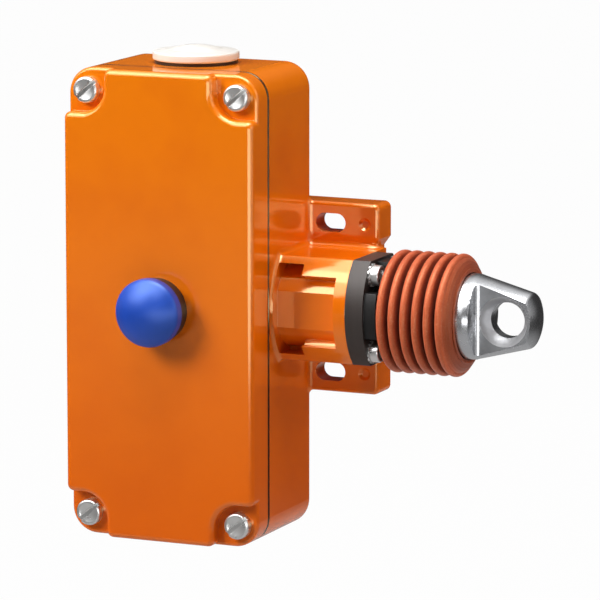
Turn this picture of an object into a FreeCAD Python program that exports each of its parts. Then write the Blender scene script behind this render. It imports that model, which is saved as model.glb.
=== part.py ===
"""Rope pull switch for machine guarding: a cast enclosure with a reset button and a spring-loaded rope eye.

Row frame: +X along the pull of the rope, the wall is the plane Y = 0 and the cover faces -Y, +Z is up.
The origin lies on the wall, midway between the two fixing slots. All sizes are in millimetres.
"""
import FreeCAD, Part
import os
import re

import Sketcher
from FreeCAD import Placement, Rotation, Vector

SIZES = [
    # Enclosure
    ("encl_width", 70.0, "enclosure, across the cover"),
    ("encl_height", 160.6, "enclosure, top to bottom"),
    ("body_depth", 36.0, "rear shell, back face to parting plane"),
    ("cover_depth", 13.2, "cover, parting plane to front panel"),
    ("wall_gap", 7.8, "back of the enclosure to the wall"),
    ("corner_round", 9.0, "vertical corners of the enclosure"),
    ("side_wall", 3.5, "wall of the rear shell"),
    ("back_wall", 4.0, "floor of the rear shell"),
    ("rear_edge_round", 2.5, "rear edge of the enclosure"),
    ("parting_round", 0.4, "edges on both sides of the parting plane"),
    # Cover
    ("cover_wall", 3.0, "wall of the cover"),
    ("panel_rise", 4.8, "front panel above the corner recesses"),
    ("recess_size", 15.0, "corner recess, measured in from each side"),
    ("recess_round", 9.0, "round of the recess behind the screw"),
    ("panel_corner_round", 2.2, "outer corners of the raised panel"),
    ("panel_edge_round", 1.9, "front edge of the raised panel"),
    ("base_edge_round", 1.2, "front edge of the cover in the recesses"),
    ("gasket_inset", 0.8, "outside of the cover to the gasket groove"),
    ("gasket_width", 1.4, "gasket across its section"),
    ("gasket_height", 1.6, "gasket above the parting plane"),
    ("gasket_play", 0.05, "gasket to the walls of its groove"),
    # Cover screws
    ("cover_screw_side", 7.2, "screw axis in from the side"),
    ("cover_screw_end", 7.6, "screw axis in from the top or bottom"),
    ("cover_screw_round", 2.4, "radius of the screw's shank"),
    ("cover_screw_head", 4.5, "radius of the screw's head"),
    ("cover_screw_head_height", 2.8, "height of the screw's head"),
    ("cover_screw_crown", 0.7, "rounded upper edge of the head"),
    ("cover_screw_engagement", 11.0, "length of the screw in the rear shell"),
    ("cover_hole_play", 0.35, "screw shank to its hole in the cover"),
    ("thread_play", 0.05, "screw shank to its tapped hole"),
    ("hole_run_out", 2.0, "tapped hole past the end of its screw"),
    ("pillar_round", 6.0, "radius of the screw pillars in the rear shell"),
    ("driver_slot_width", 1.3, "screwdriver slot"),
    ("driver_slot_depth", 1.3, "screwdriver slot"),
    ("driver_slot_turn", 41.0, "angle of the screwdriver slots, degrees"),
    # Wall flange
    ("slot_to_side", 8.3, "centre of the fixing slots to the side of the enclosure"),
    ("flange_thick", 10.6, "wall flange"),
    ("flange_height", 65.8, "wall flange, top to bottom"),
    ("flange_reach", 17.8, "slot centre to the flange's free edge"),
    ("flange_foot", 16.0, "flange behind the enclosure"),
    ("flange_edge_round", 1.4, "front edges of the flange"),
    ("flange_corner_round", 2.2, "corners at the flange's free edge"),
    ("relief_depth", 3.2, "hollow in the back of the flange behind each slot"),
    ("relief_margin", 3.0, "hollow round the slot"),
    ("slot_spacing", 51.6, "between the fixing slots"),
    ("slot_length", 11.0, "fixing slot, end to end"),
    ("slot_width", 6.4, "fixing slot"),
    ("dimple_reach", 12.6, "slot centre to the drill mark beside it"),
    ("dimple_round", 2.2, "radius of the drill mark"),
    ("dimple_depth", 0.9, "depth of the drill mark"),
    ("shoulder_start", 21.0, "height where the flange's edge slants in to the boss"),
    ("shoulder_cut", 2.4, "slant of the flange's edge beside the boss"),
    # Boss that carries the rope head
    ("rope_axis", 26.0, "axis of the rope to the wall"),
    ("boss_reach", 27.4, "boss out of the enclosure's side"),
    ("boss_height", 35.6, "boss, flat top to flat bottom"),
    ("boss_half_depth", 16.9, "axis to the crest of the boss's bulged front"),
    ("boss_bulge", 25.0, "radius of the boss's bulged front"),
    ("boss_edge_round", 0.8, "edges between the boss's flats and its bulge"),
    ("boss_cove", 1.8, "cove between the boss and the enclosure"),
    ("collar_width", 4.4, "solid collar at the end of the boss"),
    ("window_near", 1.2, "enclosure side to the start of the window"),
    ("deep_window_width", 9.2, "taller part of the window beside the enclosure"),
    ("deep_window_height", 31.0, "taller part of the window"),
    ("shallow_window_height", 24.0, "lower part of the window beside the collar"),
    ("window_floor", 3.0, "axis to the floor of the window's pockets"),
    ("tube_round", 14.6, "outside of the tube seen in the window"),
    ("tube_flat", 13.2, "axis to the flat on the tube's front"),
    ("guide_bore", 10.5, "bore that guides the spring piston"),
    ("guide_tube_wall", 2.6, "wall of the guide tube inside the shell"),
    ("guide_tube_reach", 23.5, "guide tube inside the shell"),
    # Rope head flange
    ("head_base_width", 6.4, "solid ring of the head flange"),
    ("head_crown_width", 4.3, "notched crown of the head flange"),
    ("head_bore", 9.0, "bore of the head flange"),
    ("front_block_height", 15.4, "crown between the notches, front and back"),
    ("top_block_width", 8.6, "crown between the notches, top and bottom"),
    ("crown_inset", 0.8, "crown behind the edge of the solid ring"),
    ("notch_round", 3.4, "inner corner of each notch"),
    ("head_screw_side", 8.6, "head screw beside the axis, front and back"),
    ("head_screw_height", 13.0, "head screw above and below the axis"),
    ("head_screw_round", 1.95, "radius of the head screw's shank"),
    ("head_screw_head", 3.5, "radius of its head"),
    ("head_screw_head_height", 3.0, "height of its head"),
    ("head_screw_engagement", 9.0, "length of the screw in the boss"),
    ("head_screw_boss", 3.4, "radius of the screw bosses in the window"),
    ("washer_round", 4.0, "radius of the toothed washers"),
    ("washer_thick", 0.6, "toothed washers"),
    ("washer_tooth", 0.5, "depth of the washers' teeth"),
    ("washer_teeth", 12.0, "teeth round a washer"),
    # Bellows
    ("bellows_wall", 1.0, "rubber wall"),
    ("bellows_neck", 8.8, "radius of the neck in the head flange"),
    ("bellows_bead", 12.3, "radius of the clamped bead"),
    ("bellows_bead_width", 1.5, "clamped bead"),
    ("bead_play", 0.1, "bead and neck to the head flange"),
    ("neck_reach", 1.6, "neck past the head flange"),
    ("first_crest", 41.2, "enclosure side to the first fold's crest"),
    ("fold_pitch", 4.2, "crest to crest"),
    ("fold_count", 6.0, "folds"),
    ("fold_outer", 20.7, "radius over the crests"),
    ("fold_inner", 14.2, "radius of the roots between the crests"),
    ("crest_round", 1.3, "round of each crest"),
    ("root_round", 0.45, "round of each root"),
    ("lip_reach", 66.2, "enclosure side to the end of the lip"),
    ("lip_round", 16.0, "outer radius of the lip"),
    ("lip_play", 0.3, "lip to the eye's shank"),
    # Rope eye
    ("shank_round", 14.4, "radius of the eye's shank"),
    ("groove_round", 12.8, "radius of the groove that holds the lip"),
    ("groove_start", 63.2, "enclosure side to the groove"),
    ("groove_width", 1.9, "groove for the lip"),
    ("land_width", 1.0, "land behind the groove"),
    ("taper_start", 69.0, "enclosure side to the start of the taper"),
    ("flat_start", 70.4, "enclosure side to the milled flats"),
    ("eye_end", 90.8, "enclosure side to the end of the eye"),
    ("eye_end_round", 9.4, "radius of the eye at its end"),
    ("eye_chamfer", 3.0, "rounded end of the eye"),
    ("blade_thick", 13.0, "blade between the flats"),
    ("blade_cove", 1.6, "cove between shoulder and flat"),
    ("eye_bore_reach", 80.2, "enclosure side to the eye's bore"),
    ("eye_bore", 6.0, "radius of the eye's bore"),
    ("eye_countersink", 2.5, "width of the countersink round the bore"),
    ("countersink_depth", 4.2, "depth of the countersink"),
    # Rod, bush, spring and piston
    ("rod_round", 6.0, "radius of the rod in its bush"),
    ("rod_thread", 4.9, "radius of the rod's end in the eye"),
    ("rod_thread_length", 8.0, "rod screwed into the eye"),
    ("rod_neck", 4.0, "radius of the rod inside the shell"),
    ("rod_tail", 65.0, "rod inside the shell, from the enclosure's side"),
    ("running_play", 0.05, "rod to its bush, and piston to its tube"),
    ("bush_wall", 2.0, "wall of the bush"),
    ("bush_length", 12.0, "bush in the boss"),
    ("pull_travel", 10.0, "travel of the rope eye"),
    ("piston_front", 23.0, "enclosure side to the piston's front face"),
    ("piston_width", 3.5, "spring piston"),
    ("spring_wire", 1.8, "wire of the rope spring"),
    ("spring_mean", 8.4, "mean radius of the rope spring"),
    ("spring_turns", 8.0, "turns of the rope spring"),
    ("seat_gap", 0.3, "springs and soft pieces to their seats"),
    # Cam sleeve and nut
    ("cam_small", 6.2, "radius of the cam at the foot of its ramp"),
    ("ramp_rise", 0.25, "rise of the ramp for each millimetre of travel"),
    ("ramp_foot", 37.0, "enclosure side to the foot of the ramp"),
    ("cam_waist", 5.6, "radius between the ramp and the latch ring"),
    ("latch_ring_round", 8.0, "radius of the latch ring"),
    ("latch_ring_width", 2.5, "latch ring"),
    ("nut_width", 6.0, "rod nut"),
    ("nut_across", 13.0, "rod nut, across its flats"),
    # Mechanism frame
    ("stud_height", 3.2, "studs on the floor of the rear shell"),
    ("stud_round", 3.6, "radius of the studs"),
    ("stud_left", 20.0, "studs left of the centre"),
    ("stud_right", 15.0, "studs right of the centre"),
    ("stud_level", 58.0, "studs above and below the centre"),
    ("frame_sheet", 2.0, "sheet of the mechanism frame"),
    ("frame_margin", 5.0, "frame past the stud axes"),
    ("frame_screw_round", 1.6, "radius of the frame screws"),
    ("frame_screw_head", 3.4, "radius of their heads"),
    ("frame_screw_head_height", 2.2, "height of their heads"),
    # Latch
    ("latch_pivot_left", 9.0, "latch pin left of the button's axis"),
    ("latch_pivot_depth", 38.1, "latch pin to the wall"),
    ("latch_hub", 2.9, "radius of the lever's hub"),
    ("latch_hub_half", 6.0, "half of the lever's width at the hub"),
    ("latch_arm", 11.5, "pin to the end of the pushed arm"),
    ("latch_arm_thick", 2.4, "arms of the lever"),
    ("latch_arm_half", 3.5, "half of the arms' width"),
    ("tooth_reach", 6.0, "pin to the tooth"),
    ("tooth_width", 2.5, "tooth"),
    ("tooth_play", 0.6, "tooth to the latch ring"),
    ("pin_round", 1.5, "radius of the latch pin"),
    ("cheek_gap", 10.5, "axis to the cheeks that hold the pin"),
    ("cheek_half", 4.0, "half of a cheek's width"),
    ("latch_wire", 0.8, "wire of the latch spring"),
    ("latch_turns", 3.0, "turns of the latch spring"),
    # Contact blocks
    ("block_start", 19.0, "rope axis to a contact block"),
    ("block_height", 33.0, "contact block"),
    ("block_depth", 22.0, "contact block, off the frame"),
    ("block_left", 20.0, "contact block left of the centre"),
    ("block_right", 14.0, "contact block right of the centre"),
    ("block_chamfer", 1.5, "edges of the contact blocks"),
    ("plunger_round", 2.0, "radius of the plungers"),
    ("plunger_tip", 1.2, "radius of a plunger's tip"),
    ("plunger_play", 0.3, "plunger to the ramp and to its guide"),
    ("plunger_guide", 12.0, "guide hole in a contact block"),
    ("plunger_hold", 4.0, "plunger in its guide at rest"),
    ("terminal_round", 2.6, "radius of the terminal screws"),
    ("terminal_height", 1.8, "terminal screws above the block"),
    ("terminal_columns", 20.0, "between the columns of terminals"),
    ("terminal_rows", 22.0, "between the rows of terminals"),
    ("terminal_shank", 6.0, "terminal screw in the block"),
    # Reset button
    ("button_round", 11.6, "radius of the button"),
    ("button_skirt_wall", 0.5, "wall of the button's skirt"),
    ("skirt_start", 5.3, "front panel to the button's skirt"),
    ("dome_start", 8.0, "front panel to the shoulder of the dome"),
    ("dome_height", 13.5, "front panel to the crest of the dome"),
    ("dome_shoulder", 3.2, "radius of the dome's shoulder"),
    ("button_travel", 3.0, "travel of the button"),
    ("stem_round", 3.6, "radius of the stem"),
    ("collar_round", 10.9, "radius of the collar"),
    ("collar_height", 5.8, "collar above the front panel"),
    ("collar_neck", 8.0, "radius of the collar's thread"),
    ("collar_below", 7.0, "collar below the panel's inner face"),
    ("collar_pocket", 6.6, "radius of the spring pocket in the collar"),
    ("collar_floor", 2.5, "floor of the spring pocket"),
    ("collar_nut_width", 4.0, "nut of the collar"),
    ("collar_nut_across", 21.0, "nut of the collar, across its flats"),
    ("stem_play", 0.08, "stem to the collar"),
    ("reset_wire", 0.8, "wire of the reset spring"),
    ("reset_mean", 5.2, "mean radius of the reset spring"),
    ("reset_turns", 6.0, "turns of the reset spring"),
    ("clip_round", 5.4, "radius of the retaining clip"),
    ("clip_thick", 0.8, "retaining clip"),
    ("clip_groove", 0.7, "depth of the clip's groove"),
    ("seal_section", 1.0, "thickness of the collar's seal"),
    # Blanking cap on the top
    ("cap_round", 14.75, "radius of the cap's head"),
    ("cap_rim", 3.0, "height of the cap's rim"),
    ("cap_crown", 5.0, "height of the cap's crown"),
    ("cap_step", 9.2, "radius of the raised middle of the cap"),
    ("cap_slope", 0.5, "rise of the cap from its rim to the raised middle"),
    ("cap_edge_round", 0.7, "edges of the cap's rim"),
    ("cap_seal_height", 1.1, "sealing ring under the cap"),
    ("cap_seal_round", 14.0, "radius of the sealing ring"),
    ("cap_shank", 11.1, "radius of the cap's thread"),
    ("cap_shank_length", 12.0, "thread below the enclosure's top face"),
    ("cap_shank_wall", 2.4, "wall of the threaded shank"),
    ("cap_hole_play", 0.15, "thread to the hole in the enclosure"),
    ("cap_nut_width", 4.5, "nut of the cap"),
    ("cap_nut_across", 28.0, "nut of the cap, across its flats"),
    # Cable entries
    ("entry_spacing", 31.0, "between the cable entries"),
    ("entry_round", 9.25, "core radius of the M20 thread"),
    ("entry_boss", 12.4, "radius of the bosses round the entries"),
    ("entry_boss_height", 5.0, "bosses inside the lower wall"),
    ("plug_head", 12.0, "radius of the entry plug's head"),
    ("plug_head_height", 3.4, "height of the entry plug's head"),
    ("plug_edge", 0.8, "edge of the entry plug's head"),
    ("plug_slot_width", 2.4, "slot of the entry plug"),
    ("plug_slot_depth", 1.8, "slot of the entry plug"),
    ("plug_seal_height", 1.0, "sealing ring under the plug"),
    # Earth terminal
    ("earth_right", 26.0, "earth terminal right of the centre"),
    ("earth_level", 44.0, "earth terminal below the centre"),
    ("earth_boss_height", 6.0, "boss of the earth terminal"),
    ("earth_boss", 4.5, "radius of its boss"),
    ("earth_screw_round", 1.95, "radius of the earth screw"),
    ("earth_screw_head", 4.0, "radius of its head"),
    ("earth_clamp_width", 9.0, "cable clamp under its head"),
    ("earth_clamp_thick", 1.2, "cable clamp"),
]

doc = FreeCAD.newDocument("RopePullSwitch")
sheet = doc.addObject("Spreadsheet::Sheet", "Sizes")
for row, (alias, value, meaning) in enumerate(SIZES, start=1):
    sheet.set(f"A{row}", meaning)
    sheet.set(f"B{row}", str(value))
    sheet.setAlias(f"B{row}", alias)
doc.recompute()
ALIASES = {alias for alias, value, meaning in SIZES}


def bound(text):
    """Turn names of sizes in a formula into references to the sheet."""
    return re.sub(r"[a-z][a-z_]*", lambda m: "Sizes." + m[0] if m[0] in ALIASES else m[0], text)


def number(text):
    """The present value of a formula."""
    return float(sheet.evalExpression(bound(text)))


def bind(thing, target, text):
    """Tie one property of an object to a formula."""
    thing.setExpression(target, bound(text))


# Places that several pieces share, each the distance that its name says
CENTRE_X = "(-slot_to_side - encl_width / 2)"
SIDE_X = "(-slot_to_side)"
PARTING = "(wall_gap + body_depth)"
FRONT = "(wall_gap + body_depth + cover_depth)"
RECESS_FLOOR = "(wall_gap + body_depth + cover_depth - panel_rise)"
PANEL_INSIDE = "(wall_gap + body_depth + cover_depth - cover_wall)"
SHELL_FLOOR = "(wall_gap + back_wall)"
SCREW_X = "(encl_width / 2 - cover_screw_side)"
SCREW_Y = "(encl_height / 2 - cover_screw_end)"
PORT_DEPTH = "(wall_gap + body_depth / 2)"
FRAME_BACK = "(wall_gap + back_wall + stud_height)"
FRAME_FRONT = "(wall_gap + back_wall + stud_height + frame_sheet)"
HEAD_END = "(boss_reach + head_base_width + head_crown_width)"
BUSH_START = "(boss_reach - bush_length)"
BUSH_ROUND = "(rod_round + running_play + bush_wall)"
BULGE_DROP = "(boss_bulge - sqrt(boss_bulge ^ 2 - boss_height ^ 2 / 4))"
CAM_TOP = "(cam_small + ramp_rise * pull_travel)"
RAMP_TOP = "(ramp_foot + pull_travel)"
STEM_TIP = "(latch_pivot_depth + latch_hub + seat_gap)"
UNDER_DOME = "(collar_height + button_travel + 0.7)"
LATCH_X = "(-slot_to_side - encl_width / 2 - latch_pivot_left)"

FACING_FRONT = Rotation(Vector(1, 0, 0), 90)
FACING_DOWN = Rotation(Vector(1, 0, 0), 180)


def outline(sketch, corners):
    """Draw a closed outline. A corner is (x, y) before a straight edge, or (x, y, radius) before an arc.

    A radius with a minus sign bends the arc clockwise.
    """
    places = [Vector(number(corner[0]), number(corner[1]), 0) for corner in corners]
    following = places[1:] + places[:1]
    starts = []
    ends = []
    first = sketch.GeometryCount
    for index, (corner, start, end) in enumerate(zip(corners, places, following), start=first):
        if len(corner) == 2:
            sketch.addGeometry(Part.LineSegment(start, end), False)
            starts.append((index, 1))
            ends.append((index, 2))
            continue
        clockwise = corner[2].startswith("-")
        radius = number(corner[2].lstrip("-"))
        chord = end - start
        side = Vector(chord.y, -chord.x, 0).normalize() * (-1 if clockwise else 1)
        sagitta = radius - max(radius ** 2 - chord.Length ** 2 / 4, 0) ** 0.5
        middle = (start + end) * 0.5 + side * sagitta
        sketch.addGeometry(Part.Arc(start, middle, end), False)
        starts.append((index, 2 if clockwise else 1))
        ends.append((index, 1 if clockwise else 2))
        rule = sketch.addConstraint(Sketcher.Constraint("Radius", index, radius))
        bind(sketch, f"Constraints[{rule}]", corner[2].lstrip("-"))
    for end, start in zip(ends, starts[1:] + starts[:1]):
        sketch.addConstraint(Sketcher.Constraint("Coincident", *end, *start))
    for corner, place, start in zip(corners, places, starts):
        for kind, text, at in (("DistanceX", corner[0], place.x), ("DistanceY", corner[1], place.y)):
            rule = sketch.addConstraint(Sketcher.Constraint(kind, -1, 1, *start, at))
            bind(sketch, f"Constraints[{rule}]", text)


def circle(sketch, x, y, radius):
    """Draw a circle."""
    middle = Vector(number(x), number(y), 0)
    index = sketch.addGeometry(Part.Circle(middle, Vector(0, 0, 1), number(radius)), False)
    rules = (("DistanceX", (-1, 1, index, 3, middle.x), x), ("DistanceY", (-1, 1, index, 3, middle.y), y))
    for kind, values, text in rules + (("Radius", (index, number(radius)), radius),):
        rule = sketch.addConstraint(Sketcher.Constraint(kind, *values))
        bind(sketch, f"Constraints[{rule}]", text)


def box(x_half, y_half, x="0", y="0"):
    """Corners of a rectangle about a point."""
    signs = ((-1, -1), (1, -1), (1, 1), (-1, 1))
    return [(f"{x} + ({sx}) * ({x_half})", f"{y} + ({sy}) * ({y_half})") for sx, sy in signs]


def rounded_box(x_half, y_half, radius):
    """Corners of a rectangle about the origin with rounded corners."""
    corners = []
    for sx, sy in ((1, -1), (1, 1), (-1, 1), (-1, -1)):
        near_x = (f"({sx}) * ({x_half} - {radius})", f"({sy}) * ({y_half})")
        near_y = (f"({sx}) * ({x_half})", f"({sy}) * ({y_half} - {radius})")
        first, second = (near_x, near_y) if sx * sy < 0 else (near_y, near_x)
        corners += [first + (radius,), second]
    return corners


def obround(x, y, half_length, half_width):
    """Corners of a slot along x, its round ends drawn as quarter arcs."""
    flat = f"({half_length} - {half_width})"
    return [
        (f"{x} - {flat}", f"{y} - {half_width}"),
        (f"{x} + {flat}", f"{y} - {half_width}", half_width),
        (f"{x} + {half_length}", y, half_width),
        (f"{x} + {flat}", f"{y} + {half_width}"),
        (f"{x} - {flat}", f"{y} + {half_width}", half_width),
        (f"{x} - {half_length}", y, half_width),
    ]


def hexagon(across):
    """Corners of a hexagon about the origin, with two flats square to y."""
    far = f"({across} / sqrt(3))"
    signs = ((-1, -1), (1, -1), (2, 0), (1, 1), (-1, 1), (-2, 0))
    return [(f"({sx}) * {far} / 2", f"({sy}) * {across} / 2") for sx, sy in signs]


def lies_at(axis, place):
    """A test for edges that lie in the plane where an axis has one value."""
    at = number(place)
    low, high = f"{axis}Min", f"{axis}Max"

    def test(edge):
        frame = edge.BoundBox
        return abs(getattr(frame, low) - at) < 1e-4 and abs(getattr(frame, high) - at) < 1e-4
    return test


def cap_radius(half_chord, rise):
    """Radius of the ball whose cap has this half width and this height."""
    return f"((({half_chord}) ^ 2 + ({rise}) ^ 2) / (2 * ({rise})))"


class Piece:
    """One PartDesign body whose sketches and features are tied to the sheet."""

    every = []

    def __init__(self, label, x="0", y="0", z="0", facing=None):
        self.label = label
        self.body = doc.addObject("PartDesign::Body", label)
        self.body.Label = label
        self.body.AllowCompound = True
        if facing:
            self.body.Placement = Placement(Vector(), facing)
        for axis, text in (("x", x), ("y", y), ("z", z)):
            bind(self.body, f"Placement.Base.{axis}", text)
        Piece.every.append(self.body)

    def datum(self, role):
        """One of the body's own planes or axes."""
        return next(item for item in self.body.Origin.OriginFeatures if item.Role == role)

    def sketch(self, name, plane, level="0", turn=None):
        """An empty sketch on a plane of the body, raised along its normal and turned in its plane."""
        sketch = self.body.newObject("Sketcher::SketchObject", f"{self.label}_{name}")
        sketch.AttachmentSupport = [(self.datum(f"{plane}_Plane"), "")]
        sketch.MapMode = "FlatFace"
        if turn:
            sketch.AttachmentOffset = Placement(Vector(), Rotation(Vector(0, 0, 1), number(turn)))
            bind(sketch, "AttachmentOffset.Rotation.Angle", turn)
        bind(sketch, "AttachmentOffset.Base.z", level)
        return sketch

    def draw(self, name, plane, level, *outlines, turn=None):
        """A sketch that holds one or more closed outlines. A circle is given as (x, y, radius)."""
        sketch = self.sketch(name, plane, level, turn)
        for shape in outlines:
            if isinstance(shape, tuple):
                circle(sketch, *shape)
            else:
                outline(sketch, shape)
        return sketch

    def feature(self, kind, name, **settings):
        """A feature at the end of the body's history."""
        made = self.body.newObject(f"PartDesign::{kind}", f"{self.label}_{name}")
        for key, value in settings.items():
            setattr(made, key, value)
        return made

    def pad(self, name, sketch, length, **settings):
        """Raise a sketch along its normal."""
        made = self.feature("Pad", f"{name}_pad", Profile=sketch, **settings)
        bind(made, "Length", length)
        return made

    def pocket(self, name, sketch, length, **settings):
        """Cut a sketch against its normal, or along it with Reversed."""
        made = self.feature("Pocket", f"{name}_pocket", Profile=sketch, **settings)
        bind(made, "Length", length)
        return made

    def turn(self, name, corners, plane="XY", axis="H_Axis", kind="Revolution"):
        """Turn an outline about one axis of its sketch."""
        sketch = self.draw(name, plane, "0", corners)
        return self.feature(kind, f"{name}_turn", Profile=sketch, ReferenceAxis=(sketch, [axis]), Angle=360.0)

    def round_edges(self, name, radius, *tests, kind="Fillet"):
        """Round or chamfer the edges that pass every test."""
        doc.recompute()
        base = self.body.Tip
        edges = enumerate(base.Shape.Edges, start=1)
        chosen = [f"Edge{index}" for index, edge in edges if all(test(edge) for test in tests)]
        made = self.feature(kind, name, Base=(base, chosen))
        bind(made, "Radius" if kind == "Fillet" else "Size", radius)
        return made

    def coil(self, name, mean, wire, start, length, turns):
        """Wind a wire about the body's x axis, between two end planes."""
        across = [(f"{start} + {wire} / 2 * (1 + cos({turn}))", f"{mean} + {wire} / 2 * sin({turn})")
                  for turn in range(0, 360, 60)]
        sketch = self.draw(name, "XY", "0", across)
        made = self.feature("AdditiveHelix", f"{name}_helix", Profile=sketch, ReferenceAxis=(sketch, ["H_Axis"]))
        made.Mode = "height-turns-growth"
        bind(made, "Height", f"{length} - {wire}")
        bind(made, "Turns", turns)
        return made

    def copies(self, name, originals, *steps):
        """Repeat features in rows. A step is (axis, distance), for two places along that axis."""
        rows = []
        for axis, distance in steps:
            row = self.feature("LinearPattern", f"{name}_{axis.lower()}_row", Originals=originals)
            row.Direction = (self.datum(axis), [""])
            row.Occurrences = 2
            bind(row, "Length", distance)
            rows.append(row)
        if len(rows) == 1:
            self.body.Tip = rows[0]
            return rows[0]
        made = self.feature("MultiTransform", f"{name}_grid", Originals=originals)
        for row in rows:
            row.Originals = []
        made.Transformations = rows
        self.body.Tip = made
        return made


def boss_outline(back):
    """Outline of the boss on a plane square to the rope, from its straight back to its bulged front."""
    half = "(boss_height / 2)"
    rise = f"(boss_half_depth - {BULGE_DROP})"
    return [(f"-{half}", back), (half, back), (half, f"rope_axis + {rise}", "boss_bulge"),
            (f"-{half}", f"rope_axis + {rise}")]


def bulged_square(inset):
    """Outline of the head flange about the rope's axis, with a bulged front and back."""
    half = f"(boss_height / 2 - {inset})"
    rise = f"(boss_half_depth - {BULGE_DROP} - {inset})"
    bulge = f"(({half} ^ 2 + ({BULGE_DROP}) ^ 2) / (2 * {BULGE_DROP}))"
    return [(f"-{rise}", f"-{half}"), (rise, f"-{half}", bulge), (rise, half), (f"-{rise}", half, bulge)]


def make_housing_body():
    """Cast rear shell with its wall flange and the boss that carries the rope head."""
    piece = Piece("housing_body", x=CENTRE_X, facing=FACING_FRONT)
    side = "(encl_width / 2)"
    top = "(encl_height / 2)"
    slot_x = "(encl_width / 2 + slot_to_side)"
    free_edge = f"({slot_x} + flange_reach)"
    shell = piece.draw("shell", "XY", "wall_gap", rounded_box(side, top, "corner_round"))
    piece.pad("shell", shell, "body_depth")
    piece.round_edges("rear_edge", "rear_edge_round", lies_at("Z", "wall_gap"))
    boss = piece.draw("boss", "YZ", f"{side} - side_wall", boss_outline("rope_axis - boss_half_depth - 2"))
    piece.pad("boss", boss, "boss_reach + side_wall")
    half = "(flange_height / 2)"
    inner = f"({free_edge} - shoulder_cut)"
    flat = "(boss_height / 2)"
    flange = [(f"{side} - flange_foot", f"-{half}"), (free_edge, f"-{half}"), (free_edge, "-shoulder_start")]
    flange += [(inner, f"-{flat}"), (inner, flat)]
    flange += [(free_edge, "shoulder_start"), (free_edge, half), (f"{side} - flange_foot", half)]
    piece.pad("flange", piece.draw("flange", "XY", "0", flange), "flange_thick")
    flat_at, side_at, plate_at = number(flat), number(side), number("flange_thick")

    def on_flange(edge):
        return all(abs(at.Point.z - plate_at) < 1e-4 for at in edge.Vertexes)

    def outer(edge):
        point = edge.CenterOfMass
        return abs(point.y) > flat_at + 1 and point.x > side_at + 1e-3

    def on_crest(edge):
        point = edge.CenterOfMass
        along = edge.BoundBox.YLength < 1e-4 and edge.BoundBox.ZLength < 1e-4
        return along and abs(abs(point.y) - flat_at) < 1e-4 and point.z > plate_at + 5 and point.x > side_at

    def in_cove(edge):
        points = [at.Point for at in edge.Vertexes]
        beside = all(abs(at.x - side_at) < 1e-4 and at.z > plate_at - 1e-4 for at in points)
        within = all(abs(at.y) < number(half) + 1e-3 for at in points) and edge.Length < 70
        under = all(abs(abs(at.y) - flat_at) < 1e-4 and abs(at.z - plate_at) < 1e-4 for at in points)
        return (beside and within) or (under and edge.CenterOfMass.x > side_at)

    def at_free_corner(edge):
        point = edge.CenterOfMass
        upright = edge.BoundBox.XLength < 1e-4 and edge.BoundBox.YLength < 1e-4
        return upright and abs(point.x - number(free_edge)) < 1e-3 and abs(abs(point.y) - number(half)) < 1e-3

    piece.round_edges("flange_corner", "flange_corner_round", at_free_corner)
    piece.round_edges("flange_edge", "flange_edge_round", on_flange, outer)
    piece.round_edges("boss_crest", "boss_edge_round", on_crest)
    piece.round_edges("boss_cove", "boss_cove", in_cove)
    # Cavity of the shell, its screw pillars and its studs
    inside = rounded_box(f"({side} - side_wall)", f"({top} - side_wall)", "(corner_round - side_wall)")
    piece.pocket("cavity", piece.draw("cavity", "XY", PARTING, inside), "body_depth - back_wall")
    corners = [(sx, sy) for sx in "+-" for sy in "+-"]
    pillars = [(f"{sx}{SCREW_X}", f"{sy}{SCREW_Y}", "pillar_round") for sx, sy in corners]
    piece.pad("pillars", piece.draw("pillars", "XY", SHELL_FLOOR, *pillars), "body_depth - back_wall")
    stud_places = [(x, y) for x in ("-stud_left", "stud_right") for y in ("stud_level", "-stud_level")]
    studs = piece.draw("studs", "XY", SHELL_FLOOR, *[(x, y, "stud_round") for x, y in stud_places])
    piece.pad("studs", studs, "stud_height")
    earth = piece.draw("earth_boss", "XY", SHELL_FLOOR, ("earth_right", "-earth_level", "earth_boss"))
    piece.pad("earth_boss", earth, "earth_boss_height")
    # Window in the boss: pockets above and below the tube, closed further out by the head's screw bosses
    near = f"({side} + window_near)"
    step = f"({near} + deep_window_width)"
    far = f"({side} + boss_reach - collar_width)"
    deep = "(deep_window_height / 2)"
    low = "(shallow_window_height / 2)"
    window = [(near, f"-{deep}"), (step, f"-{deep}"), (step, f"-{low}"), (far, f"-{low}")]
    window += [(far, low), (step, low), (step, deep), (near, deep)]
    crest = "(rope_axis + boss_half_depth)"
    cut = piece.draw("window", "XY", f"{crest} + 1", window)
    piece.pocket("window", cut, "boss_half_depth - window_floor + 1")
    chord = "sqrt(tube_round ^ 2 - tube_flat ^ 2)"
    back = "sqrt(tube_round ^ 2 - window_floor ^ 2)"
    tube = [(f"-{chord}", "rope_axis + tube_flat", "tube_round"), (f"-{back}", "rope_axis + window_floor")]
    tube += [(back, "rope_axis + window_floor", "tube_round"), (chord, "rope_axis + tube_flat")]
    piece.pad("tube", piece.draw("tube", "YZ", side, tube), "boss_reach")
    bosses = [(f"{sign}head_screw_height", "rope_axis + head_screw_side", "head_screw_boss") for sign in "+-"]
    piece.pad("screw_bosses", piece.draw("screw_bosses", "YZ", step, *bosses), f"{far} - {step} + 1")
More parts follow.
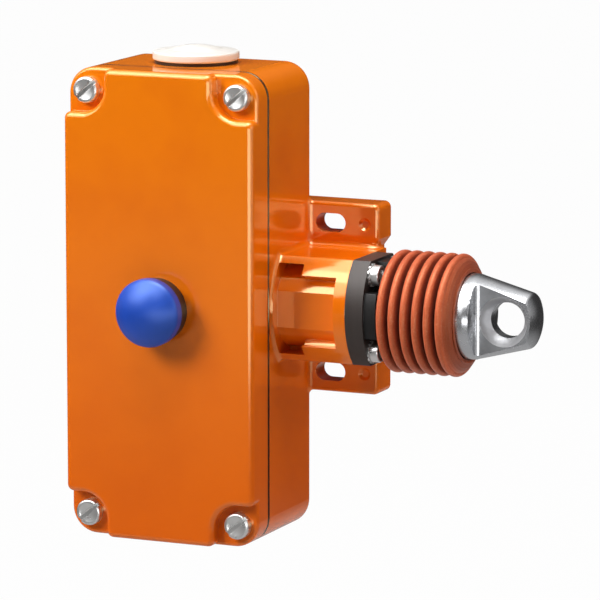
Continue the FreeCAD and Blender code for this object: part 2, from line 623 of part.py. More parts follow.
    # Guide tube inside the shell, and the bore along the rope axis
    guide = piece.draw("guide", "YZ", f"{side} - side_wall - guide_tube_reach",
                       ("0", "rope_axis", "guide_bore + guide_tube_wall"))
    piece.pad("guide", guide, "guide_tube_reach + 1")
    bore = piece.draw("bore", "YZ", f"{side} - side_wall - guide_tube_reach - 1", ("0", "rope_axis", "guide_bore"))
    piece.pocket("bore", bore, f"guide_tube_reach + side_wall + 1 + {BUSH_START}", Reversed=True)
    seat = piece.draw("bush_seat", "YZ", f"{side} + boss_reach", ("0", "rope_axis", BUSH_ROUND))
    piece.pocket("bush_seat", seat, "bush_length + 1")
    # Holes
    slots = [obround(slot_x, f"{sign}slot_spacing / 2", "(slot_length / 2)", "(slot_width / 2)") for sign in "+-"]
    piece.pocket("slots", piece.draw("slots", "XY", "flange_thick", *slots), "flange_thick + 1")
    hollows = [obround(slot_x, f"{sign}slot_spacing / 2", "(slot_length / 2 + relief_margin)",
                       "(slot_width / 2 + relief_margin)") for sign in "+-"]
    piece.pocket("reliefs", piece.draw("reliefs", "XY", "0", *hollows), "relief_depth", Reversed=True)
    dimples = [(f"{slot_x} + dimple_reach", f"{sign}slot_spacing / 2", "dimple_round") for sign in "+-"]
    marks = piece.pocket("dimples", piece.draw("dimples", "XY", "flange_thick", *dimples), "dimple_depth")
    marks.TaperAngle = -45.0
    tapped = [(f"{sx}{SCREW_X}", f"{sy}{SCREW_Y}", "cover_screw_round + thread_play") for sx, sy in corners]
    holes = piece.draw("pillar_holes", "XY", PARTING, *tapped)
    piece.pocket("pillar_holes", holes, "cover_screw_engagement + hole_run_out")
    tapped = [(x, y, "frame_screw_round + thread_play") for x, y in stud_places]
    piece.pocket("stud_holes", piece.draw("stud_holes", "XY", FRAME_BACK, *tapped), "stud_height + 1.5")
    earth_top = f"{SHELL_FLOOR} + earth_boss_height"
    earth_hole = ("earth_right", "-earth_level", "earth_screw_round + thread_play")
    piece.pocket("earth_hole", piece.draw("earth_hole", "XY", earth_top, earth_hole), "earth_boss_height + 1")
    tapped = [(f"{sz}head_screw_height", f"rope_axis {sy} head_screw_side", "head_screw_round + thread_play")
              for sz, sy in corners]
    holes = piece.draw("head_holes", "YZ", f"{side} + boss_reach", *tapped)
    piece.pocket("head_holes", holes, "head_screw_engagement + hole_run_out")
    port = piece.draw("top_port", "XZ", f"-{top}", ("0", PORT_DEPTH, "cap_shank + cap_hole_play"))
    piece.pocket("top_port", port, "side_wall + 1", Reversed=True)
    entries = [(f"{sign}entry_spacing / 2", PORT_DEPTH) for sign in "+-"]
    bosses = piece.draw("entry_bosses", "XZ", f"{top} - side_wall", *[at + ("entry_boss",) for at in entries])
    piece.pad("entry_bosses", bosses, "entry_boss_height", Reversed=True)
    ports = piece.draw("entries", "XZ", top, *[at + ("entry_round",) for at in entries])
    piece.pocket("entries", ports, "side_wall + entry_boss_height + 1")
    piece.round_edges("parting_edge", "parting_round", lies_at("Z", PARTING), on_outside(side, top))
    return piece


def on_outside(side, top):
    """A test for edges that end on the enclosure's outer walls."""
    width, height = number(side), number(top)

    def test(edge):
        points = [vertex.Point for vertex in edge.Vertexes]
        return all(abs(abs(at.x) - width) < 1e-3 or abs(abs(at.y) - height) < 1e-3 for at in points)
    return test


def panel_outline(notch, radius, x_half, y_half):
    """A rectangle whose corners are cut back by square notches with a rounded inner corner."""
    corners = []
    for sx, sy in ((1, -1), (1, 1), (-1, 1), (-1, -1)):
        wall_x = f"({sx}) * ({x_half} - {notch})"
        wall_y = f"({sy}) * ({y_half} - {notch})"
        on_side = (f"({sx}) * ({x_half})", wall_y)
        on_end = (wall_x, f"({sy}) * ({y_half})")
        near_side = (f"({sx}) * ({x_half} - {notch} + {radius})", wall_y)
        near_end = (wall_x, f"({sy}) * ({y_half} - {notch} + {radius})")
        path = [on_end, near_end + (f"-{radius}",), near_side, on_side]
        if sx * sy > 0:
            path = [on_side, near_side + (f"-{radius}",), near_end, on_end]
        corners += path
    return corners


def make_housing_cover():
    """Cast cover with a raised panel and a recess round each screw."""
    piece = Piece("housing_cover", x=CENTRE_X, facing=FACING_FRONT)
    side = "(encl_width / 2)"
    top = "(encl_height / 2)"
    base = piece.draw("base", "XY", PARTING, rounded_box(side, top, "corner_round"))
    piece.pad("base", base, "cover_depth - panel_rise")
    panel = piece.draw("panel", "XY", RECESS_FLOOR, panel_outline("recess_size", "recess_round", side, top))
    piece.pad("panel", panel, "panel_rise")
    rise = number("panel_rise")
    front = number(FRONT)

    def upright(edge):
        frame = edge.BoundBox
        return abs(frame.ZLength - rise) < 1e-4 and frame.XLength < 1e-4 and frame.YLength < 1e-4

    def at_panel_corner(edge):
        point = edge.CenterOfMass
        return abs(abs(point.x) - number(side)) < 1e-3 or abs(abs(point.y) - number(top)) < 1e-3

    piece.round_edges("panel_corners", "panel_corner_round", upright, at_panel_corner)
    piece.round_edges("base_edge", "base_edge_round", lies_at("Z", RECESS_FLOOR), on_outside(side, top))
    piece.round_edges("panel_edge", "panel_edge_round", lies_at("Z", str(front)))
    inside = panel_outline("recess_size", "(recess_round + cover_wall)", f"({side} - cover_wall)",
                           f"({top} - cover_wall)")
    hollow = piece.draw("hollow", "XY", PARTING, inside)
    piece.pocket("hollow", hollow, "cover_depth - cover_wall", Reversed=True)
    corners = [(sx, sy) for sx in "+-" for sy in "+-"]
    holes = [(f"{sx}{SCREW_X}", f"{sy}{SCREW_Y}", "cover_screw_round + cover_hole_play") for sx, sy in corners]
    piece.pocket("screw_holes", piece.draw("screw_holes", "XY", RECESS_FLOOR, *holes), "cover_depth")
    port = piece.draw("button_port", "XY", FRONT, ("0", "0", "collar_neck + cap_hole_play"))
    piece.pocket("button_port", port, "cover_wall + 1")
    outer = gasket_path("gasket_inset")
    inner = gasket_path("(gasket_inset + gasket_width)")
    groove = piece.draw("gasket_groove", "XY", PARTING, outer, inner)
    piece.pocket("gasket_groove", groove, "gasket_height", Reversed=True)
    piece.round_edges("parting_edge", "parting_round", lies_at("Z", PARTING), on_outside(side, top))
    return piece


def gasket_path(inset):
    """The enclosure's outline, drawn in by a distance."""
    return rounded_box(f"(encl_width / 2 - {inset})", f"(encl_height / 2 - {inset})", f"(corner_round - {inset})")


def make_cover_gasket():
    """Rubber cord that fills the groove of the cover."""
    piece = Piece("cover_gasket", x=CENTRE_X, facing=FACING_FRONT)
    outer = gasket_path("(gasket_inset + gasket_play)")
    inner = gasket_path("(gasket_inset + gasket_width - gasket_play)")
    ring = piece.draw("ring", "XY", PARTING, outer, inner)
    piece.pad("ring", ring, "gasket_height")
    return piece


def screw_profile(shank, length, head, height, crown):
    """Half section of a round-edged screw: head on the plane y = 0, shank below it."""
    return [
        ("0", f"-({length})"),
        (shank, f"-({length})"),
        (shank, "0"),
        (head, "0"),
        (head, f"{height} - {crown}", crown),
        (f"{head} - {crown}", height),
        ("0", height),
    ]


def make_cover_screws():
    """Four slotted screws that hold the cover."""
    piece = Piece("cover_screws", x=f"{CENTRE_X} + {SCREW_X}", y=f"-{RECESS_FLOOR}", z=SCREW_Y,
                  facing=FACING_FRONT)
    length = "(cover_depth - panel_rise + cover_screw_engagement)"
    profile = screw_profile("cover_screw_round", length, "cover_screw_head", "cover_screw_head_height",
                            "cover_screw_crown")
    screw = piece.turn("screw", profile, plane="XZ", axis="V_Axis")
    slot = piece.draw("slot", "XY", "cover_screw_head_height",
                      box("(cover_screw_head + 1)", "(driver_slot_width / 2)"), turn="driver_slot_turn")
    cut = piece.pocket("slot", slot, "driver_slot_depth")
    grid = piece.copies("screws", [screw, cut], ("X_Axis", f"2 * {SCREW_X}"), ("Y_Axis", f"2 * {SCREW_Y}"))
    for row in grid.Transformations:
        row.Reversed = True
    return piece


def make_reset_button():
    """Domed push button with a skirt that slides over the collar, and a stem with a rounded tip."""
    piece = Piece("reset_button", x=CENTRE_X, facing=FACING_FRONT)
    skirt_in = "(button_round - button_skirt_wall)"
    shoulder_x = "(button_round - dome_shoulder * 0.62)"
    shoulder_y = "(dome_start + dome_shoulder * 0.72)"
    clip_top = f"({PANEL_INSIDE} - collar_below)"
    groove = "(stem_round - clip_groove)"
    profile = [
        ("0", STEM_TIP, "stem_round"),
        ("stem_round", f"{STEM_TIP} + stem_round"),
        ("stem_round", f"{clip_top} - clip_thick"),
        (groove, f"{clip_top} - clip_thick"),
        (groove, clip_top),
        ("stem_round", clip_top),
        ("stem_round", f"{FRONT} + {UNDER_DOME}"),
        (f"{skirt_in} - 1.2", f"{FRONT} + {UNDER_DOME}"),
        (skirt_in, f"{FRONT} + {UNDER_DOME} - 1.6"),
        (skirt_in, f"{FRONT} + skirt_start"),
        ("button_round", f"{FRONT} + skirt_start"),
        ("button_round", f"{FRONT} + dome_start", "dome_shoulder"),
        (shoulder_x, f"{FRONT} + {shoulder_y}", cap_radius(shoulder_x, f"dome_height - {shoulder_y}")),
        ("0", f"{FRONT} + dome_height"),
    ]
    piece.turn("button", profile, plane="XZ", axis="V_Axis")
    return piece


def make_reset_collar():
    """Threaded collar that guides the button through the cover."""
    piece = Piece("reset_collar", x=CENTRE_X, facing=FACING_FRONT)
    foot = f"({PANEL_INSIDE} - collar_below)"
    bore = "(stem_round + stem_play)"
    seal_in = "(collar_neck + 0.4)"
    profile = [
        (bore, foot),
        ("collar_neck", foot),
        ("collar_neck", FRONT),
        (seal_in, FRONT),
        (seal_in, f"{FRONT} + seal_section"),
        ("(collar_round - 0.9)", f"{FRONT} + seal_section"),
        ("(collar_round - 0.9)", FRONT),
        ("collar_round", FRONT),
        ("collar_round", f"{FRONT} + collar_height - 0.8"),
        ("collar_round - 0.8", f"{FRONT} + collar_height"),
        ("collar_pocket", f"{FRONT} + collar_height"),
        ("collar_pocket", f"{foot} + collar_floor"),
        (bore, f"{foot} + collar_floor"),
    ]
    piece.turn("collar", profile, plane="XZ", axis="V_Axis")
    return piece


def make_reset_seal():
    """Sealing ring between the collar and the front panel."""
    piece = Piece("reset_seal", x=CENTRE_X, facing=FACING_FRONT)
    ring = piece.draw("ring", "XY", FRONT, ("0", "0", "collar_round - 1"), ("0", "0", "collar_neck + 0.5"))
    piece.pad("ring", ring, "seal_section")
    return piece


def make_reset_nut():
    """Nut that clamps the collar behind the cover."""
    piece = Piece("reset_nut", x=CENTRE_X, facing=FACING_FRONT)
    level = f"{PANEL_INSIDE} - collar_nut_width"
    nut = piece.draw("nut", "XY", level, hexagon("collar_nut_across"), ("0", "0", "collar_neck + thread_play"))
    piece.pad("nut", nut, "collar_nut_width")
    return piece


def make_reset_spring():
    """Compression spring between the collar's pocket and the button."""
    foot = f"({PANEL_INSIDE} - collar_below + collar_floor)"
    under = f"({FRONT} + {UNDER_DOME})"
    piece = Piece("reset_spring", x=CENTRE_X, y=f"-{foot}", facing=Rotation(Vector(0, 0, 1), -90))
    piece.coil("wire", "reset_mean", "reset_wire", "seat_gap", f"({under} - {foot} - 2 * seat_gap)", "reset_turns")
    return piece


def make_reset_clip():
    """Open retaining clip in the stem's groove."""
    piece = Piece("reset_clip", x=CENTRE_X, facing=FACING_FRONT)
    level = f"{PANEL_INSIDE} - collar_below - clip_thick"
    ring = piece.draw("ring", "XY", level, ("0", "0", "clip_round"), ("0", "0", "stem_round - clip_groove"))
    piece.pad("ring", ring, "clip_thick")
    mouth = box("(clip_round / 2)", "(stem_round * 0.7)", x="clip_round")
    piece.pocket("mouth", piece.draw("mouth", "XY", level, mouth), "clip_thick + 1", Reversed=True)
    return piece


def make_top_cap():
    """Blanking cap screwed into the port on the top."""
    piece = Piece("top_cap", x=CENTRE_X, y=f"-{PORT_DEPTH}", z="encl_height / 2")
    under = "cap_seal_height"
    rim = f"({under} + cap_rim)"
    crown = f"({under} + cap_crown)"
    profile = [
        ("cap_shank - cap_shank_wall", "-cap_shank_length"),
        ("cap_shank", "-cap_shank_length"),
        ("cap_shank", under),
        ("cap_round - cap_edge_round", under, "cap_edge_round"),
        ("cap_round", f"{under} + cap_edge_round"),
        ("cap_round", f"{rim} - cap_edge_round", "cap_edge_round"),
        ("cap_round - cap_edge_round", rim),
        ("cap_step", f"{rim} + cap_slope", cap_radius("cap_step", "cap_crown - cap_rim - cap_slope")),
        ("0", crown),
        ("0", under),
        ("cap_shank - cap_shank_wall", under),
    ]
    piece.turn("cap", profile, plane="XZ", axis="V_Axis")
    return piece


def make_top_cap_seal():
    """Sealing ring under the blanking cap."""
    piece = Piece("top_cap_seal", x=CENTRE_X, y=f"-{PORT_DEPTH}", z="encl_height / 2")
    ring = piece.draw("ring", "XY", "0", ("0", "0", "cap_seal_round"), ("0", "0", "cap_shank + cap_hole_play"))
    piece.pad("ring", ring, "cap_seal_height")
    return piece


def make_top_cap_nut():
    """Nut of the blanking cap, inside the shell."""
    piece = Piece("top_cap_nut", x=CENTRE_X, y=f"-{PORT_DEPTH}", z="encl_height / 2")
    level = "-side_wall - cap_nut_width"
    nut = piece.draw("nut", "XY", level, hexagon("cap_nut_across"), ("0", "0", "cap_shank + thread_play"))
    piece.pad("nut", nut, "cap_nut_width")
    return piece


def make_entry_plug():
    """Slotted plug in the spare cable entry."""
    piece = Piece("entry_plug", x=f"{CENTRE_X} - entry_spacing / 2", y=f"-{PORT_DEPTH}", z="-encl_height / 2",
                  facing=FACING_DOWN)
    profile = [
        ("0", "-side_wall - entry_boss_height"),
        ("entry_round - thread_play", "-side_wall - entry_boss_height"),
        ("entry_round - thread_play", "plug_seal_height"),
        ("plug_head", "plug_seal_height"),
        ("plug_head", "plug_seal_height + plug_head_height - plug_edge"),
        ("plug_head - plug_edge", "plug_seal_height + plug_head_height"),
        ("0", "plug_seal_height + plug_head_height"),
    ]
    piece.turn("plug", profile, plane="XZ", axis="V_Axis")
    slot = piece.draw("slot", "XY", "plug_seal_height + plug_head_height",
                      box("(plug_head * 0.75)", "(plug_slot_width / 2)"))
    piece.pocket("slot", slot, "plug_slot_depth")
    return piece


def make_entry_plug_seal():
    """Sealing ring under the entry plug."""
    piece = Piece("entry_plug_seal", x=f"{CENTRE_X} - entry_spacing / 2", y=f"-{PORT_DEPTH}",
                  z="-encl_height / 2", facing=FACING_DOWN)
    ring = piece.draw("ring", "XY", "0", ("0", "0", "plug_head - 0.6"), ("0", "0", "entry_round + thread_play"))
    piece.pad("ring", ring, "plug_seal_height")
    return piece


def make_bellows_flange():
    """Moulded flange that clamps the bellows: a solid ring and a crown with a notch for each screw."""
    piece = Piece("bellows_flange", x=SIDE_X, y="-rope_axis")
    piece.pad("ring", piece.draw("ring", "YZ", "boss_reach", bulged_square("0")), "head_base_width")
    crown = piece.draw("crown", "YZ", "boss_reach + head_base_width", bulged_square("crown_inset"))
    piece.pad("crown", crown, "head_crown_width")
    notches = []
    for sy in "+-":
        for sz in "+-":
            notches.append(box("(boss_half_depth / 2)", "(boss_height / 4)",
                               x=f"{sy}(top_block_width / 2 + boss_half_depth / 2)",
                               y=f"{sz}(front_block_height / 2 + boss_height / 4)"))
    cut = piece.draw("notches", "YZ", HEAD_END, *notches)
    piece.pocket("notches", cut, "head_crown_width")
    inner_y, inner_z, width = number("top_block_width / 2"), number("front_block_height / 2"), number(
        "head_crown_width")

    def notch_corner(edge):
        point = edge.CenterOfMass
        at_corner = abs(abs(point.y) - inner_y) < 1e-3 and abs(abs(point.z) - inner_z) < 1e-3
        return at_corner and abs(edge.BoundBox.XLength - width) < 1e-3

    piece.round_edges("notch_corners", "notch_round", notch_corner)
    piece.pocket("bore", piece.draw("bore", "YZ", HEAD_END, ("0", "0", "head_bore")),
                 "head_base_width + head_crown_width + 1")
    bead = piece.draw("bead_seat", "YZ", "boss_reach", ("0", "0", "bellows_bead + bead_play"))
    piece.pocket("bead_seat", bead, "bellows_bead_width + bead_play", Reversed=True)
    holes = [(f"{sy}head_screw_side", f"{sz}head_screw_height", "head_screw_round + cap_hole_play")
             for sy in "+-" for sz in "+-"]
    piece.pocket("holes", piece.draw("holes", "YZ", HEAD_END, *holes), "head_base_width + head_crown_width + 1")
    return piece


def make_flange_screws():
    """Four screws that hold the flange on the boss."""
    piece = Piece("flange_screws", x=f"{SIDE_X} + boss_reach + head_base_width + washer_thick",
                  y="-rope_axis - head_screw_side", z="-head_screw_height", facing=Rotation(Vector(0, 1, 0), 90))
    length = "(head_base_width + washer_thick + head_screw_engagement)"
    profile = screw_profile("head_screw_round", length, "head_screw_head", "head_screw_head_height",
                            "cover_screw_crown")
    screw = piece.turn("screw", profile, plane="XZ", axis="V_Axis")
    socket = piece.draw("socket", "XY", "head_screw_head_height", hexagon("head_screw_head"))
    cut = piece.pocket("socket", socket, "head_screw_head_height / 2")
    grid = piece.copies("screws", [screw, cut], ("X_Axis", "2 * head_screw_height"),
                        ("Y_Axis", "2 * head_screw_side"))
    grid.Transformations[0].Reversed = True
    return piece


def toothed(radius, depth, teeth):
    """Corners of a ring of square teeth about the origin."""
    corners = []
    low = f"({radius} - {depth})"
    for index in range(int(number(teeth))):
        for share, reach in ((0.0, radius), (0.4, radius), (0.5, low), (0.9, low)):
            turn = f"(360 / {teeth} * {index + share})"
            corners.append((f"{reach} * cos({turn})", f"{reach} * sin({turn})"))
    return corners


def make_flange_washers():
    """Toothed lock washers under the heads of the flange screws."""
    piece = Piece("flange_washers", x=f"{SIDE_X} + boss_reach + head_base_width",
                  y="-rope_axis - head_screw_side", z="-head_screw_height", facing=Rotation(Vector(0, 1, 0), 90))
    disc = piece.draw("disc", "XY", "0", toothed("washer_round", "washer_tooth", "washer_teeth"),
                      ("0", "0", "head_screw_round + thread_play"))
    ring = piece.pad("disc", disc, "washer_thick")
    grid = piece.copies("washers", [ring], ("X_Axis", "2 * head_screw_height"), ("Y_Axis", "2 * head_screw_side"))
    grid.Transformations[0].Reversed = True
    return piece


def fold_outline(offset):
    """Corners of the folds' skin, from the first crest to the last.

    The outer skin has no offset. The inner skin lies one wall inside it, with its folds changed to suit.
    """
    crest_half = f"(crest_round - {offset})"
    root_half = f"(root_round + {offset})"
    count = int(number("fold_count"))
    corners = []
    for index in range(count):
        crest = f"(first_crest + {index} * fold_pitch)"
        corners.append((f"{crest} - {crest_half}", "fold_outer - crest_round"))
        corners.append((f"{crest} - 0.4 * {crest_half}", f"fold_outer - {offset}"))
        corners.append((f"{crest} + 0.4 * {crest_half}", f"fold_outer - {offset}"))
        corners.append((f"{crest} + {crest_half}", "fold_outer - crest_round"))
        if index < count - 1:
            root = f"({crest} + fold_pitch / 2)"
            corners.append((f"{root} - {root_half}", "fold_inner + root_round"))
            corners.append((f"{root} - 0.4 * {root_half}", f"fold_inner - {offset}"))
            corners.append((f"{root} + 0.4 * {root_half}", f"fold_inner - {offset}"))
            corners.append((f"{root} + {root_half}", "fold_inner + root_round"))
    return corners


def make_bellows():
    """Rubber bellows: a bead clamped by the flange, a neck, the folds and a lip in the eye's groove."""
    piece = Piece("bellows", x=SIDE_X, y="-rope_axis")
    bead_start = "(boss_reach + bead_play / 2)"
    neck_in = "(bellows_neck - bellows_wall)"
    neck_end = f"({HEAD_END} + neck_reach)"
    grip = "(groove_round + lip_play)"
    cover = "(shank_round + lip_play)"
    groove_far = "(groove_start + groove_width - lip_play)"
    groove_near = "(groove_start + lip_play)"
    neck = [
        (bead_start, neck_in),
        (bead_start, "bellows_bead"),
        (f"{bead_start} + bellows_bead_width", "bellows_bead"),
        (f"{bead_start} + bellows_bead_width", "bellows_neck"),
        (f"{neck_end} - bellows_wall", "bellows_neck"),
    ]
    lip = [
        ("lip_reach", "lip_round"),
        ("lip_reach", cover),
        (groove_far, cover),
        (groove_far, grip),
        (groove_near, grip),
        (groove_near, cover),
    ]
    skin = neck + fold_outline("0") + lip + fold_outline("bellows_wall")[::-1]
    piece.turn("bellows", skin + [(neck_end, neck_in)])
    return piece


def make_pull_eye():
    """Turned rope eye with a groove for the lip, two milled flats and a countersunk bore."""
    piece = Piece("pull_eye", x=SIDE_X, y="-rope_axis")
    rear = "(groove_start - land_width)"
    groove_end = "(groove_start + groove_width)"
    profile = [
        (rear, "0"),
        (rear, "shank_round"),
        ("groove_start", "shank_round"),
        ("groove_start", "groove_round"),
        (groove_end, "groove_round"),
        (groove_end, "shank_round"),
        ("taper_start", "shank_round"),
        ("eye_end - eye_chamfer", "eye_end_round", "-eye_chamfer * 1.15"),
        ("eye_end", "eye_end_round - eye_chamfer"),
        ("eye_end", "0"),
    ]
    piece.turn("body", profile)
    far = "(shank_round + 2)"
    strip = f"(({far} - blade_thick / 2) / 2)"
    middle = f"(blade_thick / 2 + {strip})"
    length = "(eye_end - flat_start + 1)"
    sides = [box(f"({length} / 2)", strip, x=f"(flat_start + {length} / 2)", y=f"{sign}{middle}") for sign in "+-"]
    flats = piece.draw("flats", "XY", "0", *sides)
    piece.pocket("flats", flats, f"2 * {far}", Midplane=True)
    start, half = number("flat_start"), number("blade_thick / 2")

    def cove(edge):
        point = edge.CenterOfMass
        straight = edge.BoundBox.XLength < 1e-4 and edge.BoundBox.YLength < 1e-4
        return straight and abs(point.x - start) < 1e-3 and abs(abs(point.y) - half) < 1e-3

    piece.round_edges("coves", "blade_cove", cove)
    bore = piece.draw("bore", "XZ", f"-{far}", ("eye_bore_reach", "0", "eye_bore"))
    piece.pocket("bore", bore, f"2 * {far}", Reversed=True)
    sinks = []
    for sign in "+-":
        face = f"{sign}(blade_thick / 2)"
        floor = f"{sign}(blade_thick / 2 - countersink_depth)"
        outside = f"{sign}(blade_thick / 2 + 1)"
        wide = "(eye_bore + eye_countersink)"
        sinks.append([("0", floor), ("eye_bore", floor), (wide, face), (wide, outside), ("0", outside)])
    sink = piece.draw("countersinks", "XY", "0", *sinks)
    bind(sink, "AttachmentOffset.Base.x", "eye_bore_reach")
    piece.feature("Groove", "countersinks_turn", Profile=sink, ReferenceAxis=(sink, ["V_Axis"]), Angle=360.0)
    thread = piece.draw("thread", "YZ", rear, ("0", "0", "rod_thread + thread_play"))
    piece.pocket("thread", thread, "rod_thread_length + 0.5", Reversed=True)
    return piece


def make_pull_rod():
    """Rod that joins the eye to the piston and the cam sleeve."""
    piece = Piece("pull_rod", x=SIDE_X, y="-rope_axis")
    rear = "(groove_start - land_width)"
    shoulder = "(-piston_front)"
    profile = [
        ("-rod_tail", "0"),
        ("-rod_tail", "rod_neck"),
        (shoulder, "rod_neck"),
        (shoulder, "rod_round"),
        (rear, "rod_round"),
        (rear, "rod_thread"),
        (f"{rear} + rod_thread_length", "rod_thread"),
        (f"{rear} + rod_thread_length", "0"),
    ]
    piece.turn("rod", profile)
    return piece


def make_rod_bush():
    """Plain bush in the end of the boss."""
    piece = Piece("rod_bush", x=SIDE_X, y="-rope_axis")
    ring = piece.draw("ring", "YZ", BUSH_START, ("0", "0", BUSH_ROUND), ("0", "0", "rod_round + running_play"))
    piece.pad("ring", ring, "bush_length")
    return piece


def make_rope_spring():
    """Compression spring that draws the rope eye back."""
    piece = Piece("rope_spring", x=SIDE_X, y="-rope_axis")
    piece.coil("wire", "spring_mean", "spring_wire", "(-piston_front + seat_gap)",
               f"({BUSH_START} + piston_front - 2 * seat_gap)", "spring_turns")
    return piece


def make_spring_piston():
    """Disc on the rod that carries the spring and slides in the guide tube."""
    piece = Piece("spring_piston", x=SIDE_X, y="-rope_axis")
    rim = "(guide_bore - running_play)"
    disc = piece.draw("disc", "YZ", "-piston_front - piston_width", ("0", "0", rim), ("0", "0", "rod_neck"))
    piece.pad("disc", disc, "piston_width")
    return piece


def make_cam_sleeve():
    """Sleeve on the rod: a ramp that lifts the plungers, a waist and the ring that the latch holds."""
    piece = Piece("cam_sleeve", x=SIDE_X, y="-rope_axis")
    front = "(-piston_front - piston_width)"
    rear = "(-rod_tail + 2 + nut_width)"
    profile = [
        (front, "rod_neck"),
        (front, "cam_small"),
        ("-ramp_foot", "cam_small"),
        (f"-{RAMP_TOP}", CAM_TOP),
        (f"-{RAMP_TOP}", "cam_waist"),
        (f"{rear} + latch_ring_width", "cam_waist"),
        (f"{rear} + latch_ring_width", "latch_ring_round"),
        (rear, "latch_ring_round"),
        (rear, "rod_neck"),
    ]
    piece.turn("sleeve", profile)
    return piece


def make_rod_nut():
    """Nut that clamps the sleeve and the piston against the rod's shoulder."""
    piece = Piece("rod_nut", x=SIDE_X, y="-rope_axis")
    nut = piece.draw("nut", "YZ", "-rod_tail + 2", hexagon("nut_across"), ("0", "0", "rod_neck + thread_play"))
    piece.pad("nut", nut, "nut_width")
    return piece


def make_mechanism_frame():
    """Bent sheet that carries the contact blocks, with two cheeks for the latch pin."""
    piece = Piece("mechanism_frame", x=CENTRE_X, facing=FACING_FRONT)
    left = "(-stud_left - frame_margin)"
    right = "(stud_right + frame_margin)"
    high = "(stud_level + frame_margin)"
    inner = "(encl_width / 2 - side_wall - guide_tube_reach - 1)"
    clear = "(guide_bore + guide_tube_wall + 1.5)"
    plate = [(left, f"-{high}"), (right, f"-{high}"), (right, f"-{clear}"), (inner, f"-{clear}")]
    plate += [(inner, clear), (right, clear), (right, high), (left, high)]
    piece.pad("plate", piece.draw("plate", "XY", FRAME_BACK, plate), "frame_sheet")
    cheeks = [box("cheek_half", "(frame_sheet / 2)", x="-latch_pivot_left", y=f"{sign}(cheek_gap + frame_sheet / 2)")
              for sign in "+-"]
    rise = piece.draw("cheeks", "XY", FRAME_FRONT, *cheeks)
    piece.pad("cheeks", rise, f"latch_pivot_depth + latch_hub - {FRAME_FRONT}")
    pin = piece.draw("pin_hole", "XZ", "-cheek_gap - frame_sheet - 1",
                     ("-latch_pivot_left", "latch_pivot_depth", "pin_round"))
    piece.pocket("pin_hole", pin, "2 * (cheek_gap + frame_sheet + 1)", Reversed=True)
    stud_places = [(x, y) for x in ("-stud_left", "stud_right") for y in ("stud_level", "-stud_level")]
    holes = [(x, y, "frame_screw_round + cap_hole_play") for x, y in stud_places]
    piece.pocket("holes", piece.draw("holes", "XY", FRAME_FRONT, *holes), "frame_sheet + 1")
    return piece


def make_frame_screws():
    """Four screws that hold the frame on its studs."""
    piece = Piece("frame_screws", x=f"{CENTRE_X} - stud_left", y=f"-{FRAME_FRONT}", z="-stud_level",
                  facing=FACING_FRONT)
    profile = screw_profile("frame_screw_round", "(frame_sheet + stud_height)", "frame_screw_head",
                            "frame_screw_head_height", "cover_screw_crown")
    screw = piece.turn("screw", profile, plane="XZ", axis="V_Axis")
    piece.copies("screws", [screw], ("X_Axis", "stud_left + stud_right"), ("Y_Axis", "2 * stud_level"))
    return piece


def make_latch_lever():
    """Rocker that the reset button tilts to lift its tooth off the latch ring."""
    piece = Piece("latch_lever", x=LATCH_X, y="-latch_pivot_depth")
    arms = [
        ("-tooth_reach - tooth_width", "-latch_hub"),
        ("latch_arm", "-latch_hub"),
        ("latch_arm", "-latch_hub + latch_arm_thick"),
        ("-tooth_reach", "-latch_hub + latch_arm_thick"),
        ("-tooth_reach", "latch_pivot_depth - rope_axis - latch_ring_round - tooth_play"),
        ("-tooth_reach - tooth_width", "latch_pivot_depth - rope_axis - latch_ring_round - tooth_play"),
    ]
    level = "-latch_arm_half"
    piece.pad("arms", piece.draw("arms", "XY", level, arms), "2 * latch_arm_half")
    hub = piece.draw("hub", "XY", "-latch_hub_half", ("0", "0", "latch_hub"))
    piece.pad("hub", hub, "2 * latch_hub_half")
    hole = piece.draw("hole", "XY", "latch_hub_half", ("0", "0", "pin_round + running_play"))
    piece.pocket("hole", hole, "2 * latch_hub_half")
    return piece


def make_latch_pin():
    """Pin of the latch lever."""
    piece = Piece("latch_pin", x=LATCH_X, y="-latch_pivot_depth")
    level = "-cheek_gap - frame_sheet"
    pin = piece.draw("pin", "XY", level, ("0", "0", "pin_round"))
    piece.pad("pin", pin, "2 * (cheek_gap + frame_sheet)")
    return piece


def make_latch_spring():
    """Spring coil on the pin between the lever's hub and a cheek."""
    piece = Piece("latch_spring", x=LATCH_X, y="-latch_pivot_depth", facing=Rotation(Vector(0, 1, 0), -90))
    piece.coil("wire", "(pin_round + latch_wire / 2 + seat_gap)", "latch_wire", "(latch_hub_half + seat_gap)",
               "(cheek_gap - latch_hub_half - 2 * seat_gap)", "latch_turns")
    return piece


def make_contact_block(label, sign):
    """Contact block on the frame, with a guide hole for its plunger and a step over its terminals."""
    piece = Piece(label, x=CENTRE_X, facing=FACING_FRONT)
    width = "(block_left + block_right)"
    centre_y = f"{sign}(block_start + block_height / 2)"
    corners = box(f"({width} / 2)", "(block_height / 2)", x="((block_right - block_left) / 2)", y=centre_y)
    piece.pad("block", piece.draw("block", "XY", FRAME_FRONT, corners), "block_depth")
    top = f"({FRAME_FRONT} + block_depth)"
    piece.round_edges("edges", "block_chamfer", lies_at("Z", top), kind="Chamfer")
    rib = box("(block_chamfer / 2)", "(block_height / 2 - block_chamfer)", x="((block_right - block_left) / 2)",
              y=centre_y)
    piece.pad("rib", piece.draw("rib", "XY", top, rib), "terminal_height")
    level = "-block_start" if sign == "+" else "block_start"
    guide = piece.draw("guide", "XZ", level, (PLUNGER_X, "rope_axis", "plunger_round + plunger_play"))
    piece.pocket("guide", guide, "plunger_guide", Reversed=sign == "-")
    holes = [(x, y, "terminal_round - 1 + thread_play") for x, y in terminal_places(sign)]
    piece.pocket("terminal_holes", piece.draw("terminal_holes", "XY", top, *holes), "terminal_shank + 1")
    return piece


PLUNGER_X = "(encl_width / 2 - ramp_foot)"


